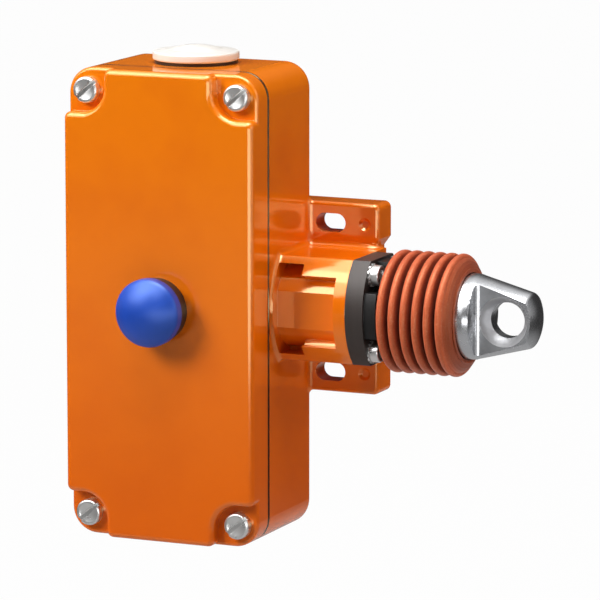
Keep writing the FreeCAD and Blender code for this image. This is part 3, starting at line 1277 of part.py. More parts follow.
def terminal_places(sign):
    """Centres of the terminal screws of one block."""
    middle = "((block_right - block_left) / 2)"
    centre_y = f"{sign}(block_start + block_height / 2)"
    return [(f"{middle} {sx} terminal_columns / 2", f"{centre_y} {sy} terminal_rows / 2")
            for sx in "+-" for sy in "+-"]


def make_plunger(label, facing):
    """Plunger of a contact block, with a narrower tip that follows the ramp."""
    piece = Piece(label, x=f"{SIDE_X} - ramp_foot", y="-rope_axis", facing=facing)
    tip = "(cam_small + ramp_rise * plunger_tip + plunger_play)"
    profile = [
        ("0", tip),
        ("plunger_tip", tip),
        ("plunger_round", f"{tip} + plunger_round - plunger_tip"),
        ("plunger_round", "block_start + plunger_hold"),
        ("0", "block_start + plunger_hold"),
    ]
    piece.turn("plunger", profile, plane="XZ", axis="V_Axis")
    return piece


def make_terminal_screws():
    """Terminal screws of both contact blocks."""
    piece = Piece("terminal_screws", x=f"{CENTRE_X} + (block_right - block_left) / 2 - terminal_columns / 2",
                  y=f"-{FRAME_FRONT} - block_depth", z="block_start + block_height / 2 - terminal_rows / 2",
                  facing=FACING_FRONT)
    profile = screw_profile("(terminal_round - 1)", "terminal_shank", "terminal_round", "terminal_height",
                            "cover_screw_crown")
    screw = piece.turn("screw", profile, plane="XZ", axis="V_Axis")
    grid = piece.copies("screws", [screw], ("X_Axis", "terminal_columns"), ("Y_Axis", "terminal_rows"))
    lower = piece.feature("LinearPattern", "lower_row")
    lower.Direction = (piece.datum("Y_Axis"), [""])
    lower.Occurrences = 2
    lower.Reversed = True
    bind(lower, "Length", "2 * block_start + block_height")
    grid.Transformations = grid.Transformations + [lower]
    piece.body.Tip = grid
    return piece


def make_earth_screw():
    """Earth terminal screw."""
    piece = Piece("earth_screw", x=f"{CENTRE_X} + earth_right",
                  y=f"-{SHELL_FLOOR} - earth_boss_height - earth_clamp_thick", z="-earth_level",
                  facing=FACING_FRONT)
    profile = screw_profile("earth_screw_round", "(earth_boss_height + earth_clamp_thick)", "earth_screw_head",
                            "cover_screw_head_height", "cover_screw_crown")
    piece.turn("screw", profile, plane="XZ", axis="V_Axis")
    slot = piece.draw("slot", "XY", "cover_screw_head_height",
                      box("(earth_screw_head + 1)", "(driver_slot_width / 2)"))
    piece.pocket("slot", slot, "driver_slot_depth")
    return piece


def make_earth_clamp():
    """Square clamp under the earth screw."""
    piece = Piece("earth_clamp", x=f"{CENTRE_X} + earth_right", y=f"-{SHELL_FLOOR} - earth_boss_height",
                  z="-earth_level", facing=FACING_FRONT)
    half = "(earth_clamp_width / 2)"
    plate = piece.draw("plate", "XY", "0", box(half, half), ("0", "0", "earth_screw_round + thread_play"))
    piece.pad("plate", plate, "earth_clamp_thick")
    return piece


make_housing_body()
make_housing_cover()
make_cover_gasket()
make_cover_screws()
make_reset_button()
make_reset_collar()
make_reset_seal()
make_reset_nut()
make_reset_spring()
make_reset_clip()
make_top_cap()
make_top_cap_seal()
make_top_cap_nut()
make_entry_plug()
make_entry_plug_seal()
make_bellows_flange()
make_flange_screws()
make_flange_washers()
make_bellows()
make_pull_eye()
make_pull_rod()
make_rod_bush()
make_rope_spring()
make_spring_piston()
make_cam_sleeve()
make_rod_nut()
make_mechanism_frame()
make_frame_screws()
make_latch_lever()
make_latch_pin()
make_latch_spring()
make_contact_block("contact_block_upper", "+")
make_contact_block("contact_block_lower", "-")
make_plunger("contact_plunger_upper", Rotation(Vector(0, 0, 1), 0))
make_plunger("contact_plunger_lower", FACING_DOWN)
make_terminal_screws()
make_earth_screw()
make_earth_clamp()

doc.recompute()
faults = [f"{item.Label}: {item.State}" for item in doc.Objects if {"Invalid", "Error"} & set(item.State)]
for body in Piece.every:
    if body.Shape.isNull() or not body.Shape.isValid():
        faults.append(f"{body.Label}: shape is null or not valid")
    print(f"{body.Label:24s} solids {len(body.Shape.Solids)} volume {body.Shape.Volume:10.1f}")
if faults:
    raise RuntimeError("; ".join(faults))
os.makedirs("parts", exist_ok=True)
for body in Piece.every:
    body.Shape.exportStep(f"parts/{body.Label}.step")
print(f"{len(Piece.every)} pieces written")
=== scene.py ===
"""Rope pull switch: finishes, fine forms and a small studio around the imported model."""
import logging
import math
from dataclasses import dataclass, field
from enum import Enum
from typing import Sequence

import bpy
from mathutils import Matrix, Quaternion, Vector


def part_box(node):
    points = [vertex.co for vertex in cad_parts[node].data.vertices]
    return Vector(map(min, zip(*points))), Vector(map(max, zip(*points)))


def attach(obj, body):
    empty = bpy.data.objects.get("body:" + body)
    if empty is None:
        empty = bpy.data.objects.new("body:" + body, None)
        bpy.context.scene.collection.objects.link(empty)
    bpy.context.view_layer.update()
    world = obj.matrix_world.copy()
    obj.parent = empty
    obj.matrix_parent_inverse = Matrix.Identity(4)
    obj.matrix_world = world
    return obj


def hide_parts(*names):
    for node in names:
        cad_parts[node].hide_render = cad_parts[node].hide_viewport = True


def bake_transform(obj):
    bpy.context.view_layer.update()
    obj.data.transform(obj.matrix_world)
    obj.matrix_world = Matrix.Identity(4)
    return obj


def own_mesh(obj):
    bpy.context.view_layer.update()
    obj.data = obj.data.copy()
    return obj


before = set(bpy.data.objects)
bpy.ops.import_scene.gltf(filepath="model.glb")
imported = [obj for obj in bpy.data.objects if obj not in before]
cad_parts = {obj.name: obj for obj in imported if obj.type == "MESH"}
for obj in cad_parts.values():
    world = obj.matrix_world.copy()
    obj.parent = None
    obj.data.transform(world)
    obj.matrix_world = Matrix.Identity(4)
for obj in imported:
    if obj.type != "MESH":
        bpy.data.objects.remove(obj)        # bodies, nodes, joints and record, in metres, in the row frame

log = logging.getLogger("rope_pull_switch")
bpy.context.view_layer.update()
MM = 0.001
TURN = 2 * math.pi
TOUCH = 0.05             # millimetres within which a face counts as lying on a surface
ROOT = "switch"

Point = tuple[float, float, float]
Place = tuple[float, float]
Stops = Sequence[Place]
Piece = bpy.types.Object
Tree = bpy.types.NodeTree
Node = bpy.types.Node
Output = tuple[Node, str | int]


class Axis(Enum):
    """Direction of a turned piece, from its foot to its head."""

    PULL = (1.0, 0.0, 0.0)
    FRONT = (0.0, -1.0, 0.0)
    WALL = (0.0, 1.0, 0.0)
    UP = (0.0, 0.0, 1.0)


# Colours and nodes


def linear(code: str) -> tuple[float, float, float, float]:
    """Turn an sRGB hex colour into linear light.

    Args:
        code: The colour as six hex digits after a hash.

    Returns:
        Red, green, blue and an alpha of 1.
    """
    parts = [int(code[i:i + 2], 16) / 255 for i in (1, 3, 5)]
    red, green, blue = (c / 12.92 if c <= 0.04045 else ((c + 0.055) / 1.055) ** 2.4 for c in parts)
    return (red, green, blue, 1.0)


def fresh(owner: bpy.types.Material | bpy.types.World) -> Tree:
    """Give a material or world an empty node tree.

    Args:
        owner: The material or world.

    Returns:
        Its node tree.
    """
    owner.use_nodes = True
    owner.node_tree.nodes.clear()
    return owner.node_tree


def add(tree: Tree, kind: str, inputs: dict | None = None, stops: Stops = (),
        **properties: object) -> Node:
    """Add one node to a tree.

    Args:
        tree: The material's or world's node tree.
        kind: The node's type, without its ShaderNode prefix.
        inputs: Each input, by name or number, with its value or the (node, output) that feeds it.
        stops: Places from 0 to 1 with their grey levels, where the node is a colour ramp.
        properties: Values of the node's own properties.

    Returns:
        The new node.
    """
    node = tree.nodes.new(f"ShaderNode{kind}")
    for key, value in properties.items():
        setattr(node, key, value)
    for key, value in (inputs or {}).items():
        if isinstance(value, tuple) and isinstance(value[0], Node):
            tree.links.new(value[0].outputs[value[1]], node.inputs[key])
        else:
            node.inputs[key].default_value = value
    if stops:
        ends = node.color_ramp.elements
        while len(ends) < len(stops):
            ends.new(0.5)
        for end, (place, grey) in zip(ends, stops):
            end.position = place
            end.color = (grey, grey, grey, 1.0)
    return node


def split(tree: Tree) -> Node:
    """Split the place on a piece into X, Y and Z."""
    return add(tree, "SeparateXYZ", {"Vector": (add(tree, "TexCoord"), "Object")})


def grain(tree: Tree, size_mm: float, stretch: Point = (1.0, 1.0, 1.0), detail: float = 3.0,
          roughness: float = 0.5) -> Output:
    """Add a noise whose blotches measure about the given size.

    Args:
        tree: The material's node tree.
        size_mm: Size of a blotch in millimetres.
        stretch: How many times longer a blotch is along each axis.
        detail: Octaves of finer noise.
        roughness: Strength of the finer octaves.

    Returns:
        The output that holds the noise.
    """
    scale = tuple(1 / s for s in stretch)
    mapping = add(tree, "Mapping", {"Vector": (add(tree, "TexCoord"), "Object"), "Scale": scale})
    noise = add(tree, "TexNoise", {"Vector": (mapping, "Vector"), "Scale": 1 / (size_mm * MM),
                                   "Detail": detail, "Roughness": roughness})
    return (noise, "Fac")


def tint(tree: Tree, shader: Node, pattern: Output, first: str | None, second: str | None) -> None:
    """Colour a shader by a pattern.

    Args:
        tree: The material's node tree.
        shader: The shader.
        pattern: The output that holds the pattern.
        first: Hex colour where the pattern is 0, or None for the colour laid before.
        second: Hex colour where the pattern is 1, or None in the same way.
    """
    base = shader.inputs["Base Color"]
    inputs = {0: pattern}
    for socket, colour in ((6, first), (7, second)):
        inputs[socket] = linear(colour) if colour else (base.links[0].from_node, 2)
    mix = add(tree, "Mix", inputs, data_type="RGBA")
    tree.links.new(mix.outputs[2], base)


def roughen(tree: Tree, shader: Node, pattern: Output, low: float, high: float) -> None:
    """Vary a shader's roughness by a pattern between two values."""
    node = add(tree, "MapRange", {"Value": pattern, "To Min": low, "To Max": high})
    tree.links.new(node.outputs["Result"], shader.inputs["Roughness"])


def emboss(tree: Tree, shader: Node, pattern: Output, height_mm: float, edge_mm: float = 0.0,
           samples: int = 4) -> None:
    """Give a shader the relief of a pattern, and soften the edges of its piece.

    Args:
        tree: The material's node tree.
        shader: The shader.
        pattern: The output that holds the relief.
        height_mm: Height of the relief in millimetres.
        edge_mm: Rounding of the edges in millimetres, or 0 for none.
        samples: Samples that the rounding takes.
    """
    inputs = {"Height": pattern, "Distance": height_mm * MM}
    if edge_mm:
        rounded = add(tree, "Bevel", {"Radius": edge_mm * MM}, samples=samples)
        inputs["Normal"] = (rounded, "Normal")
    bump = add(tree, "Bump", inputs)
    tree.links.new(bump.outputs["Normal"], shader.inputs["Normal"])


# Finishes


@dataclass(frozen=True)
class Finish:
    """A surface finish that makes one material."""

    name: str

    def material(self) -> bpy.types.Material:
        """Give the finish's material, made on first use.

        Returns:
            The material.
        """
        found = bpy.data.materials.get(self.name)
        if found:
            return found
        made = bpy.data.materials.new(self.name)
        tree = fresh(made)
        shader = add(tree, "BsdfPrincipled")
        add(tree, "OutputMaterial", {"Surface": (shader, "BSDF")})
        self.dress(tree, shader)
        return made

    def dress(self, tree: Tree, shader: Node) -> None:
        """Add the finish's own nodes to the shader."""
        raise NotImplementedError

    def shine(self, shader: Node, index: float, level: float, glint: str) -> None:
        """Set the shader's refraction index, and the strength and tint of its reflections.

        Args:
            shader: The material's shader.
            index: Refraction index.
            level: Strength of the reflections, where 0.5 is plain.
            glint: Hex colour of the reflections.
        """
        shader.inputs["IOR"].default_value = index
        shader.inputs["Specular IOR Level"].default_value = level
        shader.inputs["Specular Tint"].default_value = linear(glint)


@dataclass(frozen=True)
class Enamel(Finish):
    """Stoved enamel, sprayed on cast aluminium: hard gloss over the slow ripples of orange peel."""

    # Painted light and shade: the coat is drawn lighter at the top and darker towards the lower end, as
    # the light falls from above.
    high: str = "#E97C08"
    low: str = "#DB5F0A"
    shade: str = "#C85008"
    glint: str = "#FFE6B0"
    index: float = 1.65
    level: float = 0.9
    half_height: float = 90.0
    cloud_mm: float = 26.0
    clouds: Stops = ((0.45, 0.0), (0.75, 0.25))
    gloss: Place = (0.1, 0.16)
    seam: float = 43.8
    # Painted shade of the gap between the castings: the real gap is about 0.3 mm, drawn wider, so that it
    # shows.
    seam_width: float = 1.5
    seam_end: float = -8.15
    seam_shade: str = "#2E0E05"
    peel_mm: float = 1.8
    peel_height_mm: float = 0.003
    edge_mm: float = 0.25

    def dress(self, tree: Tree, shader: Node) -> None:
        """Paint light and shade on the coat: lighter at the top, darker towards the lower end and in the
        parting seam; and darken it in faint clouds.

        Args:
            tree: The material's node tree.
            shader: The material's shader.
        """
        place, half = split(tree), self.half_height * MM
        # Painted light and shade: from the low colour at the lower end to the high colour at the top.
        rise = add(tree, "MapRange", {"Value": (place, "Z"), "From Min": -half, "From Max": half})
        tint(tree, shader, (rise, "Result"), self.low, self.high)
        noise = grain(tree, self.cloud_mm, detail=2.0)
        clouds = add(tree, "ValToRGB", {"Fac": noise}, stops=self.clouds)
        tint(tree, shader, (clouds, "Color"), None, self.shade)
        # Painted shade in the seam between the castings.
        tint(tree, shader, self.seam_mask(tree, place), None, self.seam_shade)
        roughen(tree, shader, (clouds, "Color"), *self.gloss)
        self.shine(shader, self.index, self.level, self.glint)
        peel = grain(tree, self.peel_mm, detail=1.0)
        emboss(tree, shader, peel, self.peel_height_mm, self.edge_mm, samples=6)

    def seam_mask(self, tree: Tree, place: Node) -> Output:
        """Give 1 in the painted shade of the seam between the castings, up to the side boss, and 0
        elsewhere.

        Args:
            tree: The material's node tree.
            place: The node that holds X, Y and Z.

        Returns:
            The output that holds the mask.
        """
        below = add(tree, "Math", {0: (place, "Y"), 1: self.seam * MM}, operation="ADD")
        near = add(tree, "Math", {0: (below, "Value")}, operation="ABSOLUTE")
        inputs = {0: (near, "Value"), 1: self.seam_width / 2 * MM}
        gap = add(tree, "Math", inputs, operation="LESS_THAN")
        inputs = {0: (place, "X"), 1: self.seam_end * MM}
        side = add(tree, "Math", inputs, operation="LESS_THAN")
        both = add(tree, "Math", {0: (gap, "Value"), 1: (side, "Value")}, operation="MULTIPLY")
        return (both, "Value")


@dataclass(frozen=True)
class Moulding(Finish):
    """Injection-moulded thermoplastic: an even colour with the fine grain of the eroded tool."""

    colour: str = "#1F1D1C"
    shade: str = "#181615"
    gloss: float = 0.36
    variation: float = 0.05
    flow_mm: float = 6.0
    # Real grain is about 0.1 mm: drawn coarser, so that it shows.
    grain_mm: float = 0.35
    grain_height_mm: float = 0.004
    stretch: Point = (1.0, 1.0, 2.0)
    edge_mm: float = 0.25
    index: float = 1.5
    level: float = 0.5
    glint: str = "#FFFFFF"

    def dress(self, tree: Tree, shader: Node) -> None:
        """Give the colour a faint flow pattern and the surface its grain.

        Args:
            tree: The material's node tree.
            shader: The material's shader.
        """
        flow = grain(tree, self.flow_mm, self.stretch)
        tint(tree, shader, flow, self.shade, self.colour)
        roughen(tree, shader, flow, self.gloss - self.variation, self.gloss + self.variation)
        self.shine(shader, self.index, self.level, self.glint)
        fine = grain(tree, self.grain_mm, self.stretch, detail=2.0)
        emboss(tree, shader, fine, self.grain_height_mm, self.edge_mm)


@dataclass(frozen=True)
class FlangeMoulding(Moulding):
    """Glass-filled polyamide: a charcoal rim, and a crown drawn near black in painted shade."""

    # Painted shade: the crown, behind the rim, is drawn darker than the rim.
    crown: str = "#0D0B0B"
    crown_start: float = 25.55

    def dress(self, tree: Tree, shader: Node) -> None:
        """Paint shade on the moulding from the crown's foot on.

        Args:
            tree: The material's node tree.
            shader: The material's shader.
        """
        super().dress(tree, shader)
        # Painted shade on the crown.
        inputs = {0: (split(tree), "X"), 1: self.crown_start * MM}
        past = add(tree, "Math", inputs, operation="GREATER_THAN")
        tint(tree, shader, (past, "Value"), None, self.crown)


@dataclass(frozen=True)
class Rubber(Finish):
    """Moulded rubber: satin, with a dusty bloom and tiny specks."""

    colour: str = "#C9633E"
    shade: str = "#AA4A2B"
    bloom: str = "#D08A66"
    gloss: float = 0.36
    variation: Place = (-0.06, 0.08)
    index: float = 1.5
    level: float = 0.5
    glint: str = "#FFCFA0"
    sheen: float = 0.05
    cloud_mm: float = 4.0
    dust_mm: float = 0.7
    dust: Stops = ((0.5, 0.0), (0.8, 0.55))
    speck_mm: float = 0.5
    speck_height_mm: float = 0.008

    def dress(self, tree: Tree, shader: Node) -> None:
        """Cloud the colour with bloom, dust its high spots, and roughen the skin.

        Args:
            tree: The material's node tree.
            shader: The material's shader.
        """
        clouds = grain(tree, self.cloud_mm, detail=4.0, roughness=0.65)
        tint(tree, shader, clouds, self.shade, self.colour)
        noise = grain(tree, self.dust_mm, roughness=0.7)
        dust = add(tree, "ValToRGB", {"Fac": noise}, stops=self.dust)
        tint(tree, shader, (dust, "Color"), None, self.bloom)
        roughen(tree, shader, clouds, *(self.gloss + change for change in self.variation))
        self.shine(shader, self.index, self.level, self.glint)
        shader.inputs["Sheen Weight"].default_value = self.sheen
        emboss(tree, shader, grain(tree, self.speck_mm, detail=2.0), self.speck_height_mm)


@dataclass(frozen=True)
class FoldedRubber(Rubber):
    """Silicone rubber of a bellows: painted shade, deep red, in the folds and less on the last face; dusty
    all over.
    """

    # Painted shade, darkest at the roots of the folds.
    depth: str = "#3A0D05"
    root: float = 16.2
    crest: float = 20.2
    centre: Point = (0.0, -26.0, 0.0)
    face: Place = (54.5, 55.2)
    face_share: float = 0.5

    def dress(self, tree: Tree, shader: Node) -> None:
        """Paint shade on the rubber towards the roots of the folds, and less on the last face.

        Args:
            tree: The material's node tree.
            shader: The material's shader.
        """
        super().dress(tree, shader)
        inputs = {0: (add(tree, "TexCoord"), "Object"), 1: [-c * MM for c in self.centre]}
        away = add(tree, "VectorMath", inputs, operation="ADD")
        inputs = {0: (away, "Vector"), 1: (0.0, 1.0, 1.0)}
        flat = add(tree, "VectorMath", inputs, operation="MULTIPLY")
        reach = add(tree, "VectorMath", {0: (flat, "Vector")}, operation="LENGTH")
        share = add(tree, "MapRange", {"Value": (reach, "Value"), "From Min": self.root * MM,
                                       "From Max": self.crest * MM})
        low, high = self.face
        face = add(tree, "MapRange", {"Value": (split(tree), "X"), "From Min": low * MM,
                                      "From Max": high * MM, "To Max": self.face_share})
        inputs = {0: (share, "Result"), 1: (face, "Result")}
        high = add(tree, "Math", inputs, operation="MAXIMUM")
        # Painted shade: the fold colour at the roots, the rubber's own colour on the crests.
        tint(tree, shader, (high, "Value"), self.depth, None)


@dataclass(frozen=True)
class Steel(Finish):
    """Plated or machined metal: bright, with fine marks along one direction."""

    colour: str = "#D6D7D9"
    shade: str = "#B4B6B9"
    gloss: float = 0.2
    variation: float = 0.03
    cloud_mm: float = 4.0
    # Real marks are under 0.1 mm apart: drawn coarser, so that they show.
    marks_mm: float = 0.22
    along: Point = (14.0, 1.0, 1.0)
    marks_height_mm: float = 0.0012
    edge_mm: float = 0.0
    metal: float = 1.0

    def dress(self, tree: Tree, shader: Node) -> None:
        """Draw the marks, and dull the metal in soft clouds.

        Args:
            tree: The material's node tree.
            shader: The material's shader.
        """
        clouds = grain(tree, self.cloud_mm, detail=4.0, roughness=0.6)
        tint(tree, shader, clouds, self.shade, self.colour)
        roughen(tree, shader, clouds, self.gloss - self.variation, self.gloss + self.variation)
        shader.inputs["Metallic"].default_value = self.metal
        marks = grain(tree, self.marks_mm, self.along, roughness=0.6)
        emboss(tree, shader, marks, self.marks_height_mm, self.edge_mm)


# Sprayed and stoved: glossy orange, with painted light and shade, lighter at the top and darker downwards
# and in the parting seam.
ENAMEL = Enamel("stoved_enamel_orange")
# Moulded polyamide: near black, half matt.
BLACK_NYLON = Moulding("polyamide_black")
# Filled with glass fibre, which lies along the rim: dry charcoal with a coarser grain, and painted shade
# on the crown.
FLANGE_NYLON = FlangeMoulding("polyamide_glass_filled_black", "#3B3532", "#292422", gloss=0.42,
                              grain_mm=0.5, grain_height_mm=0.006, stretch=(0.6, 1.0, 6.0),
                              edge_mm=0.35, level=0.35)
# Moulded in a polished tool: smooth deep blue with a soft pale highlight.
BLUE_ABS = Moulding("abs_blue", "#0D42B0", "#0B399C", gloss=0.38, grain_mm=0.8,
                    grain_height_mm=0.001, level=0.9, glint="#B4D2FF")
# Moulded polyamide without pigment: milky white, half matt.
WHITE_NYLON = Moulding("polyamide_white", "#DEDDD9", "#D6D5D0", gloss=0.34, grain_mm=0.6,
                       grain_height_mm=0.002)
# Moulded polyamide of the contact blocks: mid grey, matt.
GREY_NYLON = Moulding("polyamide_grey", "#8E9194", "#83868A", gloss=0.45)
# Moulded silicone rubber: satin red-brown under dust, with painted shade in the folds.
SILICONE = FoldedRubber("silicone_rubber_red_brown")
# Moulded nitrile rubber: matt black.
BLACK_RUBBER = Rubber("nitrile_rubber_black", "#1B1A19", "#131211", "#262422", gloss=0.5)
# Bright zinc plating on cold-headed screws: pale, almost without marks.
ZINC = Steel("zinc_plated_steel", "#E2E2E1", "#CDCDCB", gloss=0.28, marks_height_mm=0.0002,
             edge_mm=0.2, metal=0.85)
# Fine turning, with marks round the axis: the brightest metal here.
TURNED_STEEL = Steel("turned_stainless_steel", "#D2D3D5", "#B9BABD", gloss=0.27, marks_mm=0.25,
                     along=(1.0, 6.0, 6.0), marks_height_mm=0.0001)
# Milled along the rod, then tumbled: a dull, darker flat.
MILLED_STEEL = Steel("milled_and_tumbled_stainless_steel", "#A2A3A5", "#797B7E", gloss=0.42,
                     marks_mm=0.45, along=(3.0, 1.0, 1.0), marks_height_mm=0.0025, metal=0.9)
# Cut by the countersink: a clean ring, paler than the flat round it.
SUNK_STEEL = Steel("countersunk_stainless_steel", "#DCDDDF", "#C6C7CA", gloss=0.33, marks_mm=0.5,
                   along=(1.0, 3.0, 1.0), marks_height_mm=0.0003, metal=0.75)
# Drawn wire: mid grey, with a soft gloss.
SPRING_WIRE = Steel("drawn_spring_wire", "#9A9B9E", "#7E7F83", gloss=0.34)
# Cold-rolled and zinc-plated sheet and bar: rolling marks along one direction.
SHEET_STEEL = Steel("rolled_sheet_steel", "#BDBEC0", "#A2A3A6", gloss=0.36, along=(1.0, 1.0, 14.0))
# Turned brass: warm yellow, fairly bright.
BRASS = Steel("turned_brass", "#D9B766", "#BF9A4C", gloss=0.3)
# Pressed and sintered bronze: porous, brown and dull.
BRONZE = Steel("sintered_bronze", "#B5834A", "#96683A", gloss=0.42, marks_mm=0.4,
               along=(1.0, 1.0, 1.0))


# Modelling


def alone(*pieces: Piece) -> None:
    """Select only the given pieces, with the last one active.

    Args:
        pieces: The pieces, or none.
    """
    bpy.ops.object.select_all(action="DESELECT")
    for piece in pieces:
        piece.select_set(True)
        bpy.context.view_layer.objects.active = piece


def edit(kind: str, action: str = "SELECT") -> None:
    """Enter edit mode on one kind of element, with all or none of them selected.

    Args:
        kind: VERT, EDGE or FACE.
        action: SELECT or DESELECT.
    """
    bpy.ops.object.mode_set(mode="EDIT")
    bpy.ops.mesh.select_mode(type=kind)
    bpy.ops.mesh.select_all(action=action)


def leave() -> None:
    """Leave edit mode."""
    bpy.ops.object.mode_set(mode="OBJECT")


def modify(piece: Piece, kind: str, **settings: object) -> None:
    """Add a modifier to a piece, set it and apply it.

    Args:
        piece: The piece.
        kind: Blender's name of the modifier.
        settings: Values of the modifier's properties.
    """
    alone(piece)
    bpy.ops.object.modifier_add(type=kind)
    modifier = piece.modifiers[-1]
    for key, value in settings.items():
        setattr(modifier, key, value)
    bpy.ops.object.modifier_apply(modifier=modifier.name)


def arc(along: float, away: float, radius: float, start: float, stop: float,
        steps: int) -> list[Place]:
    """Give points on an arc of a half section.

    Args:
        along: Centre of the arc along the axis.
        away: Distance of the centre from the axis.
        radius: Radius of the arc.
        start: First angle in degrees, where 0 points along the axis and 90 away from it.
        stop: Last angle in degrees.
        steps: Number of chords.

    Returns:
        The points as (along, away).
    """
    turns = [math.radians(start + (stop - start) * i / steps) for i in range(steps + 1)]
    return [(along + radius * math.cos(t), away + radius * math.sin(t)) for t in turns]


def crown(along: float, chord: float, rise: float, steps: int) -> list[Place]:
    """Give points of a shallow cap that starts at the given half chord and ends on the axis.

    Args:
        along: Place of the cap's foot along the axis.
        chord: Distance of its foot from the axis.
        rise: Its height.
        steps: Number of chords.

    Returns:
        The points as (along, away).
    """
    radius = (chord ** 2 + rise ** 2) / (2 * rise)
    start = math.degrees(math.asin(chord / radius))
    return arc(along + rise - radius, 0.0, radius, start, 0.0, steps)


def order(piece: Piece) -> None:
    """Put a piece's points and faces in a fixed order, which spins and cuts leave to chance.

    Args:
        piece: The piece, out of edit mode.
    """
    mesh = piece.data
    places = [tuple(point.co) for point in mesh.vertices]
    sequence = sorted(range(len(places)), key=places.__getitem__)
    rank = {old: new for new, old in enumerate(sequence)}
    sharp = {frozenset(rank[i] for i in edge.vertices) for edge in mesh.edges
             if edge.use_edge_sharp}
    faces = []
    for face in mesh.polygons:
        ring = [rank[i] for i in face.vertices]
        first = ring.index(min(ring))
        faces.append(ring[first:] + ring[:first])
    mesh.clear_geometry()
    mesh.from_pydata([places[i] for i in sequence], [], sorted(faces))
    for edge in mesh.edges:
        edge.use_edge_sharp = frozenset(edge.vertices) in sharp


def tidy(piece: Piece, smooth: float = 32.0) -> None:
    """Merge doubles, turn the faces outwards, fix order and origin, and smooth the shading.

    Args:
        piece: The piece.
        smooth: Least angle in degrees of an edge that stays sharp.
    """
    alone(piece)
    edit("VERT")
    bpy.ops.mesh.remove_doubles(threshold=0.0008 * MM)
    bpy.ops.mesh.normals_make_consistent(inside=False)
    leave()
    order(piece)
    bpy.ops.object.transform_apply()
    bpy.ops.object.shade_smooth_by_angle(angle=math.radians(smooth))


def turned(name: str, axis: Axis, foot: Point, profile: Sequence[Place],
           steps: int = 128) -> Piece:
    """Draw a half section vertex by vertex and spin it about an axis.

    Args:
        name: Name of the piece.
        axis: Direction of the axis.
        foot: Point of the axis from which the section is measured, in millimetres.
        profile: Points of the section as (along, away) in millimetres.
        steps: Number of facets round the axis.

    Returns:
        The turned piece.
    """
    way = Vector(axis.value)
    side = way.orthogonal().normalized()
    places = [(Vector(foot) + way * along + side * away) * MM for along, away in profile]
    alone()
    bpy.ops.mesh.primitive_plane_add(size=MM, location=places[0])
    piece = bpy.context.object
    piece.name = name
    edit("VERT")
    bpy.ops.mesh.merge(type="CENTER")
    for before, after in zip(places, places[1:]):
        move = {"value": tuple(after - before)}
        bpy.ops.mesh.extrude_vertices_move(TRANSFORM_OT_translate=move)
    bpy.ops.mesh.select_all(action="SELECT")
    middle = tuple(Vector(foot) * MM)
    bpy.ops.mesh.spin(steps=steps, angle=TURN, center=middle, axis=tuple(way))
    leave()
    tidy(piece)
    return piece


def block(name: str, centre: Point, size: Point, turn: float = 0.0) -> Piece:
    """Add a cutter block.

    Args:
        name: Name of the cutter.
        centre: Its middle in millimetres.
        size: Its full sizes in millimetres.
        turn: Degrees of its turn round the Y axis through its middle.

    Returns:
        The block.
    """
    alone()
    bpy.ops.mesh.primitive_cube_add(size=1.0, location=(Vector(centre) * MM)[:])
    cutter = bpy.context.object
    cutter.name = name
    cutter.scale = (Vector(size) * MM)[:]
    bpy.ops.object.transform_apply(location=False, rotation=False)
    cutter.rotation_mode = "QUATERNION"
    cutter.rotation_quaternion = Quaternion(Axis.WALL.value, math.radians(turn))
    bpy.ops.object.transform_apply()
    return cutter


def cut(piece: Piece, cutter: Piece) -> None:
    """Take a cutter's shape out of a piece, and delete the cutter.

    Args:
        piece: The piece that is cut.
        cutter: The piece whose shape goes.
    """
    modify(piece, "BOOLEAN", operation="DIFFERENCE", solver="EXACT", object=cutter)
    alone(cutter)
    bpy.ops.object.delete()


def soften(piece: Piece, width: float, angle: float) -> None:
    """Round a piece's edges above an angle in degrees, by a width in millimetres."""
    modify(piece, "BEVEL", width=width * MM, segments=2, limit_method="ANGLE",
           angle_limit=math.radians(angle))


def copied(piece: Piece, moves: Sequence[Point]) -> Piece:
    """Copy a piece to further places and join the copies with it.

    Args:
        piece: The piece at its first place.
        moves: Moves in millimetres from the first place to each further one.

    Returns:
        The joined piece.
    """
    copies = []
    for move in moves:
        alone(piece)
        bpy.ops.object.duplicate(linked=False)
        bpy.ops.transform.translate(value=(Vector(move) * MM)[:])
        bpy.ops.object.transform_apply()
        copies.append(bpy.context.object)
    alone(*copies, piece)
    bpy.ops.object.join()
    return piece


def settle(piece: Piece, finish: Finish, node: str, body: str | None,
           instead: bool = True) -> None:
    """Give a piece its finish and its body.

    Args:
        piece: The finished piece.
        finish: The piece's finish.
        node: The CAD node whose material slot it takes.
        body: The body that it rides on, or None for none.
        instead: Whether it replaces the node.
    """
    piece.data.materials.clear()
    piece.data.materials.append(finish.material())
    if instead:
        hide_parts(node)
    if body:
        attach(piece, body)
    faces = len(piece.data.polygons)
    log.info("built %s with %d faces in %s", piece.name, faces, finish.name)


def dress(node: str, finish: Finish) -> None:
    """Give a carried-over CAD node its finish.

    Args:
        node: Name of the node.
        finish: Its finish.
    """
    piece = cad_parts[node]
    if not piece.material_slots:
        piece.data.materials.append(None)
    for slot in piece.material_slots:
        slot.material = finish.material()
    log.info("dressed %s in %s", node, finish.name)


def press(node: str) -> None:
    """Give a spring's node a mesh of its own.

    Args:
        node: The spring's CAD node.
    """
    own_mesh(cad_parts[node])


# Sub-assemblies


